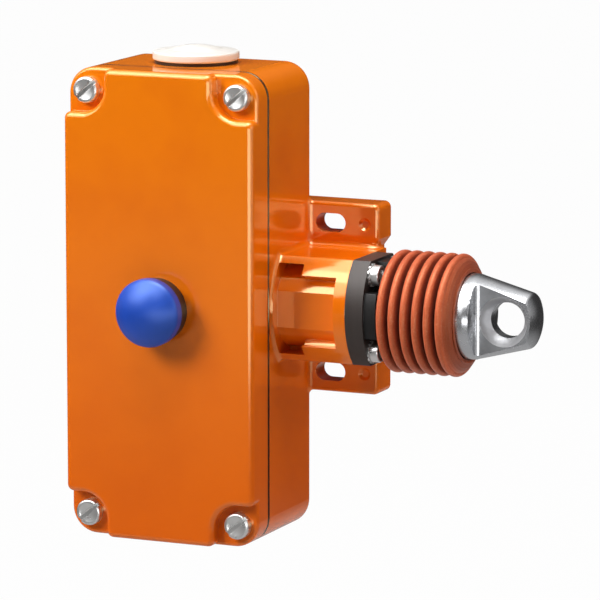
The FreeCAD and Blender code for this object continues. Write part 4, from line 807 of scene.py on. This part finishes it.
@dataclass
class Enclosure:
    """Cast shell and cover with their gasket, and the cover's four slotted screws."""

    centre_x: float = -43.3
    width: float = 70.0
    height: float = 160.6
    corner: float = 9.0
    parting: float = 43.8
    lip_inset: float = 0.18
    lip_width: float = 0.5
    lip_thick: float = 0.34
    screw_x: float = 27.8
    screw_z: float = 72.7
    recess_floor: float = 52.2
    head_round: float = 4.5
    head_height: float = 2.8
    head_edge: float = 0.85
    rim_width: float = 0.35
    sink_width: float = 0.25
    sink_depth: float = 0.12
    shank_round: float = 2.4
    shank_length: float = 19.4
    tip: float = 0.5
    slot_width: float = 1.45
    slot_depth: float = 1.25
    slot_turn: float = -41.0
    broken_edge: float = 0.12

    def build(self) -> None:
        """Dress the castings and build the screws and the gasket's lip."""
        dress("housing_body", ENAMEL)
        dress("housing_cover", ENAMEL)
        dress("cover_gasket", BLACK_RUBBER)
        settle(self.cover_screws(), ZINC, "cover_screws", ROOT)
        # The gasket's lip: real rubber, and also a dark line put in for the shade of the seam.
        settle(self.gasket_lip(), BLACK_RUBBER, "cover_gasket", ROOT, instead=False)

    def gasket_lip(self) -> Piece:
        """Inset a rounded outline and thicken it: the gasket's squeezed edge in the seam, a dark line that
        also stands in for the seam's shade.

        Returns:
            The lip.
        """
        alone()
        middle = (self.centre_x * MM, -self.parting * MM, 0.0)
        bpy.ops.mesh.primitive_plane_add(size=1.0, location=middle,
                                         rotation=(math.pi / 2, 0.0, 0.0))
        lip = bpy.context.object
        lip.name = "cover_gasket_lip"
        less = 2 * self.lip_inset
        lip.scale = ((self.width - less) * MM, (self.height - less) * MM, 1.0)
        bpy.ops.object.transform_apply()
        edit("VERT")
        radius = (self.corner - self.lip_inset) * MM
        bpy.ops.mesh.bevel(offset=radius, segments=16, affect="VERTICES")
        edit("FACE")
        bpy.ops.mesh.inset(thickness=self.lip_width * MM)
        bpy.ops.mesh.delete(type="FACE")
        bpy.ops.mesh.select_all(action="SELECT")
        bpy.ops.mesh.normals_make_consistent(inside=False)
        leave()
        modify(lip, "SOLIDIFY", thickness=self.lip_thick * MM, offset=0.0)
        tidy(lip)
        return lip

    def cover_screws(self) -> Piece:
        """Turn one screw, cut its slot, and copy it to the four corners.

        Returns:
            The four screws as one piece.
        """
        foot = (self.centre_x - self.screw_x, -self.recess_floor, -self.screw_z)
        length, shank, top = self.shank_length, self.shank_round, self.head_height
        flat = self.head_round - self.head_edge
        rim, sink = flat - self.rim_width, top - self.sink_depth
        profile = [(-length, 0.0), (-length, shank - self.tip), (-length + self.tip, shank),
                   (0.0, shank), (0.0, self.head_round)]
        profile += arc(top - self.head_edge, flat, self.head_edge, 90, 0, 8)
        profile += [(top, rim), (sink, rim - self.sink_width), (sink, 0.0)]
        screw = turned("cover_screws_turned", Axis.FRONT, foot, profile, steps=72)
        size = (2 * self.head_round + 1, 2 * self.slot_depth, self.slot_width)
        cut(screw, block("slot", (foot[0], foot[1] - top, foot[2]), size, self.slot_turn))
        soften(screw, self.broken_edge, 40.0)
        tidy(screw)
        across, up = 2 * self.screw_x, 2 * self.screw_z
        return copied(screw, [(across, 0, 0), (0, 0, up), (across, 0, up)])


@dataclass
class TopPort:
    """White blanking cap on its black ring, with its nut inside the shell."""

    level: float = 80.3
    ring_height: float = 1.1
    cap_round: float = 14.75
    rim_height: float = 3.0
    edge: float = 0.75
    step: float = 0.02
    step_round: float = 9.2
    slope: float = 0.5
    height: float = 5.0
    shank_round: float = 11.1
    shank_wall: float = 2.4
    shank_length: float = 12.0

    def build(self) -> None:
        """Build the cap and dress what holds it."""
        settle(self.cap(), WHITE_NYLON, "top_cap", ROOT)
        dress("top_cap_seal", BLACK_RUBBER)
        dress("top_cap_nut", WHITE_NYLON)

    def cap(self) -> Piece:
        """Turn the cap: a rounded rim, a gently hollow shoulder and a raised middle.

        Returns:
            The cap.
        """
        low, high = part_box("top_cap")
        foot = (*((low[i] + high[i]) / 2 / MM for i in (0, 1)), self.level)
        under, edge, full = self.ring_height, self.edge, self.cap_round
        rim, inner = under + self.rim_height, full - edge
        length, shank = self.shank_length, self.shank_round
        bore = shank - self.shank_wall
        profile = [(under, 0.0), (under, bore), (-length, bore), (-length, shank), (under, shank)]
        profile += arc(under + edge, inner, edge, 180, 90, 8)
        profile += arc(rim - edge, inner, edge, 90, 12, 10)
        steps = 9
        for share in (i / steps for i in range(1, steps)):
            swell = 3 * share ** 2 - 2 * share ** 3
            away = inner + (self.step_round - inner) * share
            profile.append((rim + self.step + self.slope * swell, away))
        rise = self.height - self.rim_height - self.slope
        profile += crown(rim + self.slope, self.step_round, rise, 16)
        return turned("top_cap_turned", Axis.UP, foot, profile)


@dataclass
class ResetUnit:
    """Blue domed button in its black collar, with what guides and returns it."""

    foot: Point = (-43.3, 0.0, 0.0)
    front: float = 57.0
    radius: float = 11.6
    wall: float = 0.5
    skirt_start: float = 5.3
    skirt_edge: float = 0.2
    skirt_bevel: float = 0.15
    dome_start: float = 8.0
    dome_height: float = 13.5
    shoulder: float = 3.2
    shoulder_in: float = 0.62
    shoulder_up: float = 0.72
    fullness: float = 1.1
    under_dome: float = 9.5
    under_edge: Place = (1.6, 1.2)
    stem_round: float = 3.6
    groove_depth: float = 0.8
    spring_seat: float = 49.5
    travel: float = 3.0
    finishes: dict[str, Finish] = field(default_factory=lambda: {
        "reset_collar": BLACK_NYLON, "reset_seal": BLACK_RUBBER, "reset_nut": BLACK_NYLON,
        "reset_spring": SPRING_WIRE, "reset_clip": SPRING_WIRE})

    def build(self) -> None:
        """Build the button, dress the rest and give the spring a mesh of its own."""
        settle(self.button(), BLUE_ABS, "reset_button", "reset_set")
        for node, finish in self.finishes.items():
            dress(node, finish)
        press("reset_spring")

    def button(self) -> Piece:
        """Turn the button from the stem's tip over the skirt to the dome's crest.

        Returns:
            The button.
        """
        tip = -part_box("reset_button")[1][1] / MM
        top, base = (-corner[1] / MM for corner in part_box("reset_clip"))
        stem, full, edge = self.stem_round, self.radius, self.skirt_edge
        groove, inside = stem - self.groove_depth, full - self.wall
        under, skirt = self.front + self.under_dome, self.front + self.skirt_start
        profile = arc(tip + stem, 0.0, stem, 180, 90, 10)
        profile += [(base, stem), (base, groove), (top, groove), (top, stem), (under, stem),
                    (under, inside - self.under_edge[1]), (under - self.under_edge[0], inside),
                    (skirt + edge, inside), (skirt, inside + self.skirt_bevel),
                    (skirt, full - edge), (skirt + edge, full),
                    (self.front + self.dome_start, full)]
        return turned("reset_button_turned", Axis.FRONT, self.foot, profile + self.dome())

    def dome(self) -> list[Place]:
        """Give the dome's points, from the skirt round the shoulder to the crest.

        Returns:
            The points as (along, away).
        """
        away = self.radius - self.shoulder * self.shoulder_in
        along = self.dome_start + self.shoulder * self.shoulder_up
        first = (self.front + self.dome_start, self.radius)
        last = (self.front + along, away)
        rise = self.dome_height - along
        radius = (away ** 2 + rise ** 2) / (2 * rise)
        slope = (away / radius, (rise - radius) / radius)
        pull = math.dist(first, last) * self.fullness
        steps, points = 12, []
        for t in (i / steps for i in range(1, steps)):
            square, cube = t ** 2, t ** 3
            start, end = 2 * cube - 3 * square + 1, 3 * square - 2 * cube
            leaving, coming = (cube - 2 * square + t) * pull, (cube - square) * pull
            points.append((start * first[0] + leaving + end * last[0] + coming * slope[0],
                           start * first[1] + end * last[1] + coming * slope[1]))
        return points + crown(last[0], away, rise, 28)


@dataclass
class RopeHead:
    """Black notched flange on the boss, with its four screws and toothed washers."""

    seat: Point = (25.5, -26.0, 0.0)
    side: float = 8.6
    level: float = 13.0
    washer_round: float = 4.0
    washer_bore: float = 2.0
    washer_thick: float = 0.6
    tooth: float = 0.5
    teeth: int = 12
    tooth_strips: int = 4
    head_round: float = 3.5
    head_height: float = 3.0
    head_edge: float = 0.5
    foot_edge: float = 0.15
    socket_across: float = 3.5
    socket_depth: float = 1.6
    broken_edge: float = 0.1
    shank_round: float = 1.95
    shank_length: float = 16.0
    tip: float = 0.4

    def build(self) -> None:
        """Dress the flange and build its fixings."""
        dress("bellows_flange", FLANGE_NYLON)
        settle(self.screws(), ZINC, "flange_screws", ROOT)
        settle(self.washers(), ZINC, "flange_washers", ROOT)

    def place(self) -> Point:
        """Give the seat of the first screw."""
        return (self.seat[0], self.seat[1] - self.side, self.seat[2] - self.level)

    def screws(self) -> Piece:
        """Turn a cylinder screw, cut its hexagon socket, and copy it.

        Returns:
            The four screws as one piece.
        """
        foot = Vector(self.place()) + Vector((self.washer_thick, 0, 0))
        low, top, full = -self.shank_length, self.head_height, self.head_round
        shank, tip, edge = self.shank_round, self.tip, self.head_edge
        profile = [(low, 0.0), (low, shank - tip), (low + tip, shank), (0.0, shank),
                   (0.0, full - self.foot_edge), (self.foot_edge, full), (top - edge, full)]
        profile += arc(top - edge, full - edge, edge, 80, 0, 5) + [(top, 0.0)]
        screw = turned("flange_screws_turned", Axis.PULL, tuple(foot), profile, steps=48)
        middle = (foot + Vector((top, 0, 0))) * MM
        corner = self.socket_across / math.sqrt(3) * MM
        alone()
        bpy.ops.mesh.primitive_cylinder_add(vertices=6, radius=corner, location=middle[:],
                                            depth=2 * self.socket_depth * MM,
                                            rotation=(0.0, math.pi / 2, 0.0))
        cut(screw, bpy.context.object)
        soften(screw, self.broken_edge, 40.0)
        tidy(screw)
        return copied(screw, self.moves())

    def washers(self) -> Piece:
        """Spin a washer, then press its teeth out of the rim.

        Returns:
            The four washers as one piece.
        """
        foot = self.place()
        thick, rim, bore = self.washer_thick, self.washer_round - self.tooth, self.washer_bore
        profile = [(0.0, bore), (0.0, rim), (thick, rim), (thick, bore), (0.0, bore)]
        strips = self.tooth_strips * self.teeth
        washer = turned("flange_washers_toothed", Axis.PULL, foot, profile, steps=strips)
        alone(washer)
        edit("FACE", "DESELECT")
        leave()
        middle = Vector(foot) * MM
        for face in washer.data.polygons:
            out = face.center - middle
            strip = int(math.atan2(out.z, out.y) % TURN * strips / TURN) % self.tooth_strips
            on_rim = math.hypot(out.y, out.z) > (rim - TOUCH) * MM and abs(face.normal.x) < 0.1
            face.select = on_rim and strip < self.tooth_strips / 2
        bpy.ops.object.mode_set(mode="EDIT")
        out = {"value": self.tooth * MM}
        bpy.ops.mesh.extrude_region_shrink_fatten(TRANSFORM_OT_shrink_fatten=out)
        bpy.ops.mesh.select_mode(type="VERT")
        leave()
        tidy(washer, 25.0)
        return copied(washer, self.moves())

    def moves(self) -> list[Point]:
        """Give the moves from the first screw to the others."""
        across, up = 2 * self.side, 2 * self.level
        return [(0, across, 0), (0, 0, up), (0, across, up)]


@dataclass
class RopePull:
    """Rubber bellows and the steel eye that the rope hangs in."""

    axis: Point = (0.0, -26.0, 0.0)
    bead_start: float = 19.15
    bead_round: float = 12.3
    bead_width: float = 1.5
    neck_round: float = 8.8
    neck_end: float = 31.4
    wall: float = 1.0
    first_crest: float = 32.9
    pitch: float = 4.2
    folds: int = 6
    outer: float = 20.7
    inner: float = 14.2
    crest_round: float = 1.3
    root_round: float = 0.45
    face_full: float = 0.35
    rings: Place = (0.34, 0.62)
    ring_width: float = 0.035
    ring_height: float = 0.10
    face_lean: float = 0.6
    lip_end: float = 57.9
    lip_round: float = 16.0
    lip_edge: float = 0.5
    lip_set: float = 0.35
    lip_bevel: float = 0.2
    grip_round: float = 13.1
    cover_round: float = 14.7
    grip: Place = (55.2, 56.5)
    shank_start: float = 53.9
    shank_round: float = 14.4
    shank_edge: float = 0.3
    groove: Place = (54.9, 56.8)
    groove_round: float = 12.8
    taper_start: float = 60.7
    taper_run: float = 0.8
    taper_falls: Point = (0.0, 0.06, 0.32)
    flat_start: float = 62.1
    end: float = 82.5
    corner_round: float = 2.0
    corner_turn: float = 28.0
    dome_round: float = 18.2
    blade: float = 13.0
    cove: float = 1.6
    mill_width: float = 40.0
    mill_spare: float = 3.0
    bore_place: float = 71.9
    bore_round: float = 6.0
    sink_width: float = 2.5
    sink_depth: float = 4.2
    sink_full: float = 0.12
    drill_spare: Point = (0.5, 2.0, 0.6)
    thread_round: float = 4.95
    thread_length: float = 8.5
    broken_edge: float = 0.3

    def build(self) -> None:
        """Build both pieces, and give the eye's flats and countersink their own finishes."""
        bellows = self.bellows()
        settle(bellows, SILICONE, "bellows", None)
        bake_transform(bellows)
        eye = self.eye()
        settle(eye, TURNED_STEEL, "pull_eye", "rope_pull_set")
        for finish in (MILLED_STEEL, SUNK_STEEL):
            eye.data.materials.append(finish.material())
        ring = (self.bore_round + TOUCH, self.bore_round + self.sink_width + 2 * TOUCH)
        for face in eye.data.polygons:
            deep = self.blade / 2 - abs(face.center.y / MM - self.axis[1])
            away = math.hypot(face.center.x / MM - self.bore_place, face.center.z / MM)
            if abs(deep) < TOUCH and abs(face.normal.y) > 0.98:
                face.material_index = 1
            elif ring[0] < away < ring[1] and -TOUCH < deep < self.sink_depth + 2 * TOUCH:
                face.material_index = 2

    def folded(self, offset: float, steps: int) -> list[Place]:
        """Give the folds' skin, one offset inside the outer one.

        Args:
            offset: Depth under the outer skin in millimetres.
            steps: Chords round a crest.

        Returns:
            The points as (along, away).
        """
        points = []
        for index in range(self.folds):
            crest = self.first_crest + index * self.pitch
            away, radius = self.outer - self.crest_round, self.crest_round - offset
            points += arc(crest, away, radius, 180, 0, steps)
            if index < self.folds - 1:
                away, radius = self.inner + self.root_round, self.root_round + offset
                points += arc(crest + self.pitch / 2, away, radius, 180, 360, steps // 2)
        return points

    def bellows(self) -> Piece:
        """Turn the bellows: bead, neck, folds, a full last face with fine rings, and the lip.

        Returns:
            The bellows.
        """
        start, neck, neck_in = self.bead_start, self.neck_round, self.neck_round - self.wall
        far, cover = start + self.bead_width, self.cover_round
        foot = [(start, neck_in), (start, self.bead_round), (far, self.bead_round), (far, neck),
                (self.neck_end - self.wall, neck)]
        outside = self.folded(0.0, 14)
        face = self.last_face(outside.pop())
        lip = [(self.lip_end, cover + self.lip_bevel), (self.lip_end - self.lip_bevel, cover),
               (self.grip[1], cover), (self.grip[1], self.grip_round),
               (self.grip[0], self.grip_round), (self.grip[0], cover)]
        inside = self.folded(self.wall, 8)[::-1] + [(self.neck_end, neck_in), (start, neck_in)]
        profile = foot + outside + face + lip + inside
        return turned("bellows_spun", Axis.PULL, self.axis, profile, steps=160)

    def last_face(self, corner: Place) -> list[Place]:
        """Give the face from the last crest to the lip: a little full, with two faint rings.

        Args:
            corner: The point where the last crest ends.

        Returns:
            The points as (along, away).
        """
        edge = self.lip_end - self.lip_edge
        points, steps = [], 24
        for share in (i / steps for i in range(steps + 1)):
            proud = self.face_full * math.sin(math.pi * share)
            for ring in self.rings:
                proud += self.ring_height * math.exp(-((share - ring) / self.ring_width) ** 2)
            along = corner[0] + (edge - corner[0]) * share
            away = corner[1] + (self.lip_round - corner[1]) * share
            points.append((along + proud * self.face_lean, away + proud * self.face_lean))
        return points + arc(edge, self.lip_round - self.lip_set, self.lip_edge, 55, 0, 5)

    def eye(self) -> Piece:
        """Turn the eye, mill its two flats, drill and countersink it, and break its edges.

        Returns:
            The eye.
        """
        start, full, edge, groove = self.shank_start, self.shank_round, self.shank_edge, self.groove
        profile = [(start, 0.0), (start, full - edge), (start + edge, full), (groove[0], full),
                   (groove[0], self.groove_round), (groove[1], self.groove_round),
                   (groove[1], full)]
        for index, fall in enumerate(self.taper_falls):
            profile.append((self.taper_start + (index - 1) * self.taper_run, full - fall))
        corner, dome = self.corner_round, self.dome_round
        middle, reach, turn = self.end - dome, dome - corner, math.radians(self.corner_turn)
        profile += arc(middle + reach * math.cos(turn), reach * math.sin(turn), corner, 75,
                       self.corner_turn, 8)
        profile += arc(middle, 0.0, dome, self.corner_turn, 0, 16)[1:]
        eye = turned("pull_eye_milled", Axis.PULL, self.axis, profile, steps=192)
        for tool in (self.milling, self.drill):
            for sign in (-1, 1):
                cut(eye, tool(sign))
        low, high, wide = start - 1, start + self.thread_length, self.thread_round
        thread = [(low, 0.0), (low, wide), (high, wide), (high, 0.0)]
        cut(eye, turned("thread", Axis.PULL, self.axis, thread, steps=48))
        tidy(eye, 25.0)
        soften(eye, self.broken_edge, 25.0)
        tidy(eye, 38.0)
        modify(eye, "WEIGHTED_NORMAL", keep_sharp=True)
        return eye

    def milling(self, sign: int) -> Piece:
        """Give the cutter of one flat, with the mill's rounded corner towards the shank.

        Args:
            sign: -1 for the front flat, 1 for the one behind.

        Returns:
            The cutter.
        """
        length = self.end + self.mill_spare - self.flat_start
        deep = self.shank_round + self.mill_spare - self.blade / 2
        side = self.axis[1] + sign * (self.blade / 2 + deep / 2)
        size = (length, deep, self.mill_width)
        mill = block("mill", (self.flat_start + length / 2, side, 0.0), size)
        alone(mill)
        edit("EDGE", "DESELECT")
        leave()
        place = Vector((self.flat_start, self.axis[1] + sign * self.blade / 2)) * MM
        corners = mill.data.vertices
        for edge in mill.data.edges:
            ends = [corners[i].co for i in edge.vertices]
            edge.select = all((end.xy - place).length < TOUCH * MM for end in ends)
        bpy.ops.object.mode_set(mode="EDIT")
        bpy.ops.mesh.bevel(offset=self.cove * MM, segments=8)
        leave()
        return mill

    def drill(self, sign: int) -> Piece:
        """Give the cutter of half the bore with its countersink.

        Args:
            sign: -1 for the front half, 1 for the one behind.

        Returns:
            The cutter.
        """
        face, bore, width = self.blade / 2, self.bore_round, self.sink_width
        before, past, flare = self.drill_spare
        deep = face - self.sink_depth
        profile = [(-before, 0.0), (-before, bore), (deep, bore)]
        steps = 6
        for share in (i / steps for i in range(1, steps + 1)):
            wide = width * (share + self.sink_full * math.sin(math.pi * share))
            profile.append((deep + (face - deep) * share, bore + wide))
        profile += [(face + past, bore + width + flare), (face + past, 0.0)]
        way = Axis.FRONT if sign < 0 else Axis.WALL
        return turned("drill", way, (self.bore_place, self.axis[1], 0.0), profile, steps=96)


@dataclass
class Mechanism:
    """Everything inside the shell, and the plug of the spare cable entry."""

    finishes: dict[str, Finish] = field(default_factory=lambda: {
        "entry_plug": BLACK_NYLON, "entry_plug_seal": BLACK_RUBBER, "pull_rod": SHEET_STEEL,
        "rod_bush": BRONZE, "rope_spring": SPRING_WIRE, "spring_piston": SHEET_STEEL,
        "cam_sleeve": GREY_NYLON, "rod_nut": ZINC, "mechanism_frame": SHEET_STEEL,
        "frame_screws": ZINC, "latch_lever": SHEET_STEEL, "latch_pin": SHEET_STEEL,
        "latch_spring": SPRING_WIRE, "contact_block_upper": GREY_NYLON,
        "contact_block_lower": GREY_NYLON, "contact_plunger_upper": BLACK_NYLON,
        "contact_plunger_lower": BLACK_NYLON, "terminal_screws": BRASS, "earth_screw": BRASS,
        "earth_clamp": BRASS})
    spring_seat: float = 7.1
    travel: float = 10.0

    def build(self) -> None:
        """Dress each node of the mechanism, and give the spring a mesh of its own."""
        for node, finish in self.finishes.items():
            dress(node, finish)
        press("rope_spring")


# Studio


def aimed(name: str, data: bpy.types.ID, place: Point, target: Point) -> Piece:
    """Hang a lamp or camera in its place, turned towards its target.

    Args:
        name: Its name.
        data: Its lamp or camera data.
        place: Its place in metres.
        target: The point that it looks at.

    Returns:
        The lamp or camera.
    """
    hung = bpy.data.objects.new(name, data)
    hung.location = place
    hung.rotation_euler = (Vector(target) - Vector(place)).to_track_quat("-Z", "Y").to_euler()
    bpy.context.collection.objects.link(hung)
    return hung


@dataclass
class Lamp:
    """A soft rectangular lamp, which may light the switch, show in its gloss, or both."""

    name: str
    place: Point
    size: Place
    watts: float
    colour: str = "#FFFFFF"
    target: Point = (-0.02, -0.035, 0.0)
    lights: bool = True
    shows: bool = True

    def build(self) -> None:
        """Set the lamp up."""
        data = bpy.data.lights.new(self.name, "AREA")
        data.shape = "RECTANGLE"
        data.size, data.size_y = self.size
        data.energy = self.watts
        data.color = linear(self.colour)[:3]
        lamp = aimed(self.name, data, self.place, self.target)
        lamp.visible_diffuse = self.lights
        lamp.visible_glossy = self.shows


@dataclass
class Studio:
    """Pale floor, white surroundings, soft lamps and the camera."""

    floor_level: float = -0.25
    floor_size: float = 12.0
    paper: str = "#BEBEBE"
    glow_reach: Place = (0.3, 0.85)
    glow_level: Place = (0.5, 0.04)
    pool_place: Point = (-0.62, -1.4, 0.0)
    pool_reach: Place = (0.1, 0.8)
    pool_level: Place = (0.28, 0.0)
    glow_share: float = 0.98
    ambient: float = 0.1
    ambient_colour: str = "#FFB48C"
    room: Stops = ((0.0, 0.03), (0.3, 0.03), (0.45, 0.1), (0.6, 0.3), (0.8, 0.9), (1.0, 1.0))
    walls: Stops = ((0.55, 0.0), (0.8, 0.35), (0.95, 0.4))
    camera_place: Point = (0.6309, -1.4595, 0.2717)
    camera_target: Point = (0.00026, -0.037, 0.00317)
    lens: float = 281.6
    lamps: tuple[Lamp, ...] = (
        Lamp("key_softbox", (-0.81, -0.965, 0.82), (0.6, 0.6), 21.5, shows=False),
        Lamp("key_reflector", (-0.9, -0.9, 0.82), (1.2, 1.0), 16.0, lights=False),
        Lamp("top_softbox", (0.05, -0.18, 1.05), (0.8, 0.55), 12.0),
        Lamp("side_strip", (1.3, 0.02, 0.15), (0.25, 1.3), 8.6, "#FFEEE0", shows=False),
        Lamp("top_reflector", (-0.2, -0.55, 1.0), (1.2, 1.0), 17.0, lights=False),
        Lamp("side_reflector", (1.3, -0.35, 0.3), (1.5, 1.2), 6.5, lights=False),
        Lamp("front_reflector", (0.43, -1.12, -0.1), (1.3, 0.28), 5.0,
             target=(0.0, 0.0, -0.1), lights=False))

    def build(self) -> None:
        """Build floor, surroundings, lamps and camera."""
        self.build_floor()
        self.build_world()
        for lamp in self.lamps:
            lamp.build()
        self.build_camera()
        log.info("studio built with %d lamps", len(self.lamps))

    def build_floor(self) -> None:
        """Lay the floor, which looks white to the camera apart from a faint shadow."""
        bpy.ops.mesh.primitive_plane_add(size=self.floor_size, location=(0, 0, self.floor_level))
        floor = bpy.context.object
        floor.name = "studio_floor"
        made = bpy.data.materials.new("matt_white_paper")
        tree = fresh(made)
        paper = add(tree, "BsdfDiffuse", {"Color": linear(self.paper)})
        glow = add(tree, "Emission", {"Color": (1, 1, 1, 1), "Strength": self.glow(tree)})
        path = add(tree, "LightPath")
        inputs = {0: (path, "Is Camera Ray"), 1: (path, "Is Glossy Ray")}
        seen = add(tree, "Math", inputs, operation="MAXIMUM")
        inputs = {0: (seen, "Value"), 1: self.glow_share}
        most = add(tree, "Math", inputs, operation="MULTIPLY")
        inputs = {0: (most, "Value"), 1: (paper, "BSDF"), 2: (glow, "Emission")}
        mix = add(tree, "MixShader", inputs)
        add(tree, "OutputMaterial", {"Surface": (mix, "Shader")})
        floor.data.materials.append(made)

    def glow(self, tree: Tree) -> Output:
        """Give the floor's glow: white to the camera, and to gloss two pools that fade out.

        Args:
            tree: The floor's node tree.

        Returns:
            The output that holds the glow's strength.
        """
        place = add(tree, "TexCoord")
        pools = []
        for centre, reach, level in (((0.0, 0.0, 0.0), self.glow_reach, self.glow_level),
                                     (self.pool_place, self.pool_reach, self.pool_level)):
            inputs = {0: (place, "Object"), 1: centre}
            away = add(tree, "VectorMath", inputs, operation="DISTANCE")
            limits = {"From Min": reach[0], "From Max": reach[1], "To Min": level[0],
                      "To Max": level[1], "Value": (away, "Value")}
            pools.append((add(tree, "MapRange", limits), "Result"))
        near = add(tree, "Math", dict(enumerate(pools)), operation="MAXIMUM")
        inputs = {0: (add(tree, "LightPath"), "Is Camera Ray"), 2: (near, "Value"), 3: 1.0}
        return (add(tree, "Mix", inputs), 0)

    def build_world(self) -> None:
        """Make the surroundings white to the camera, and a graded studio to gloss and light."""
        world = bpy.data.worlds.new("white_studio")
        bpy.context.scene.world = world
        tree = fresh(world)
        path = add(tree, "LightPath")
        inputs = {0: (path, "Is Camera Ray"), 1: (path, "Is Transmission Ray")}
        seen = add(tree, "Math", inputs, operation="MAXIMUM")
        white = add(tree, "Background", {"Color": (1, 1, 1, 1), "Strength": 1.0})
        inputs = {"Color": linear(self.ambient_colour), "Strength": self.ambient}
        soft = add(tree, "Background", inputs)
        apart = add(tree, "SeparateXYZ", {"Vector": (add(tree, "TexCoord"), "Generated")})
        room = add(tree, "ValToRGB", {"Fac": (apart, "Z")}, self.room)
        aside = add(tree, "Math", {0: (apart, "X")}, operation="ABSOLUTE")
        walls = add(tree, "ValToRGB", {"Fac": (aside, "Value")}, self.walls)
        both = add(tree, "Math", {0: (room, "Color"), 1: (walls, "Color")}, operation="MAXIMUM")
        inputs = {"Color": (1, 1, 1, 1), "Strength": (both, "Value")}
        mirrored = add(tree, "Background", inputs)
        inputs = {0: (path, "Is Glossy Ray"), 1: (soft, "Background"), 2: (mirrored, "Background")}
        lit = add(tree, "MixShader", inputs)
        inputs = {0: (seen, "Value"), 1: (lit, "Shader"), 2: (white, "Background")}
        mix = add(tree, "MixShader", inputs)
        add(tree, "OutputWorld", {"Surface": (mix, "Shader")})

    def build_camera(self) -> None:
        """Place the camera as the photograph's."""
        data = bpy.data.cameras.new("photo_camera")
        data.lens = self.lens
        data.sensor_width = 36.0
        data.clip_start, data.clip_end = 0.1, 50.0
        scene = bpy.context.scene
        scene.camera = aimed("photo_camera", data, self.camera_place, self.camera_target)
        scene.view_settings.view_transform = "Standard"


def main() -> None:
    """Build the dressed switch and its studio."""
    for assembly in (Enclosure(), TopPort(), ResetUnit(), RopeHead(), RopePull(), Mechanism()):
        assembly.build()
    Studio().build()


if __name__ == "__main__":
    logging.basicConfig(level=logging.INFO, format="%(name)s: %(message)s")
    main()
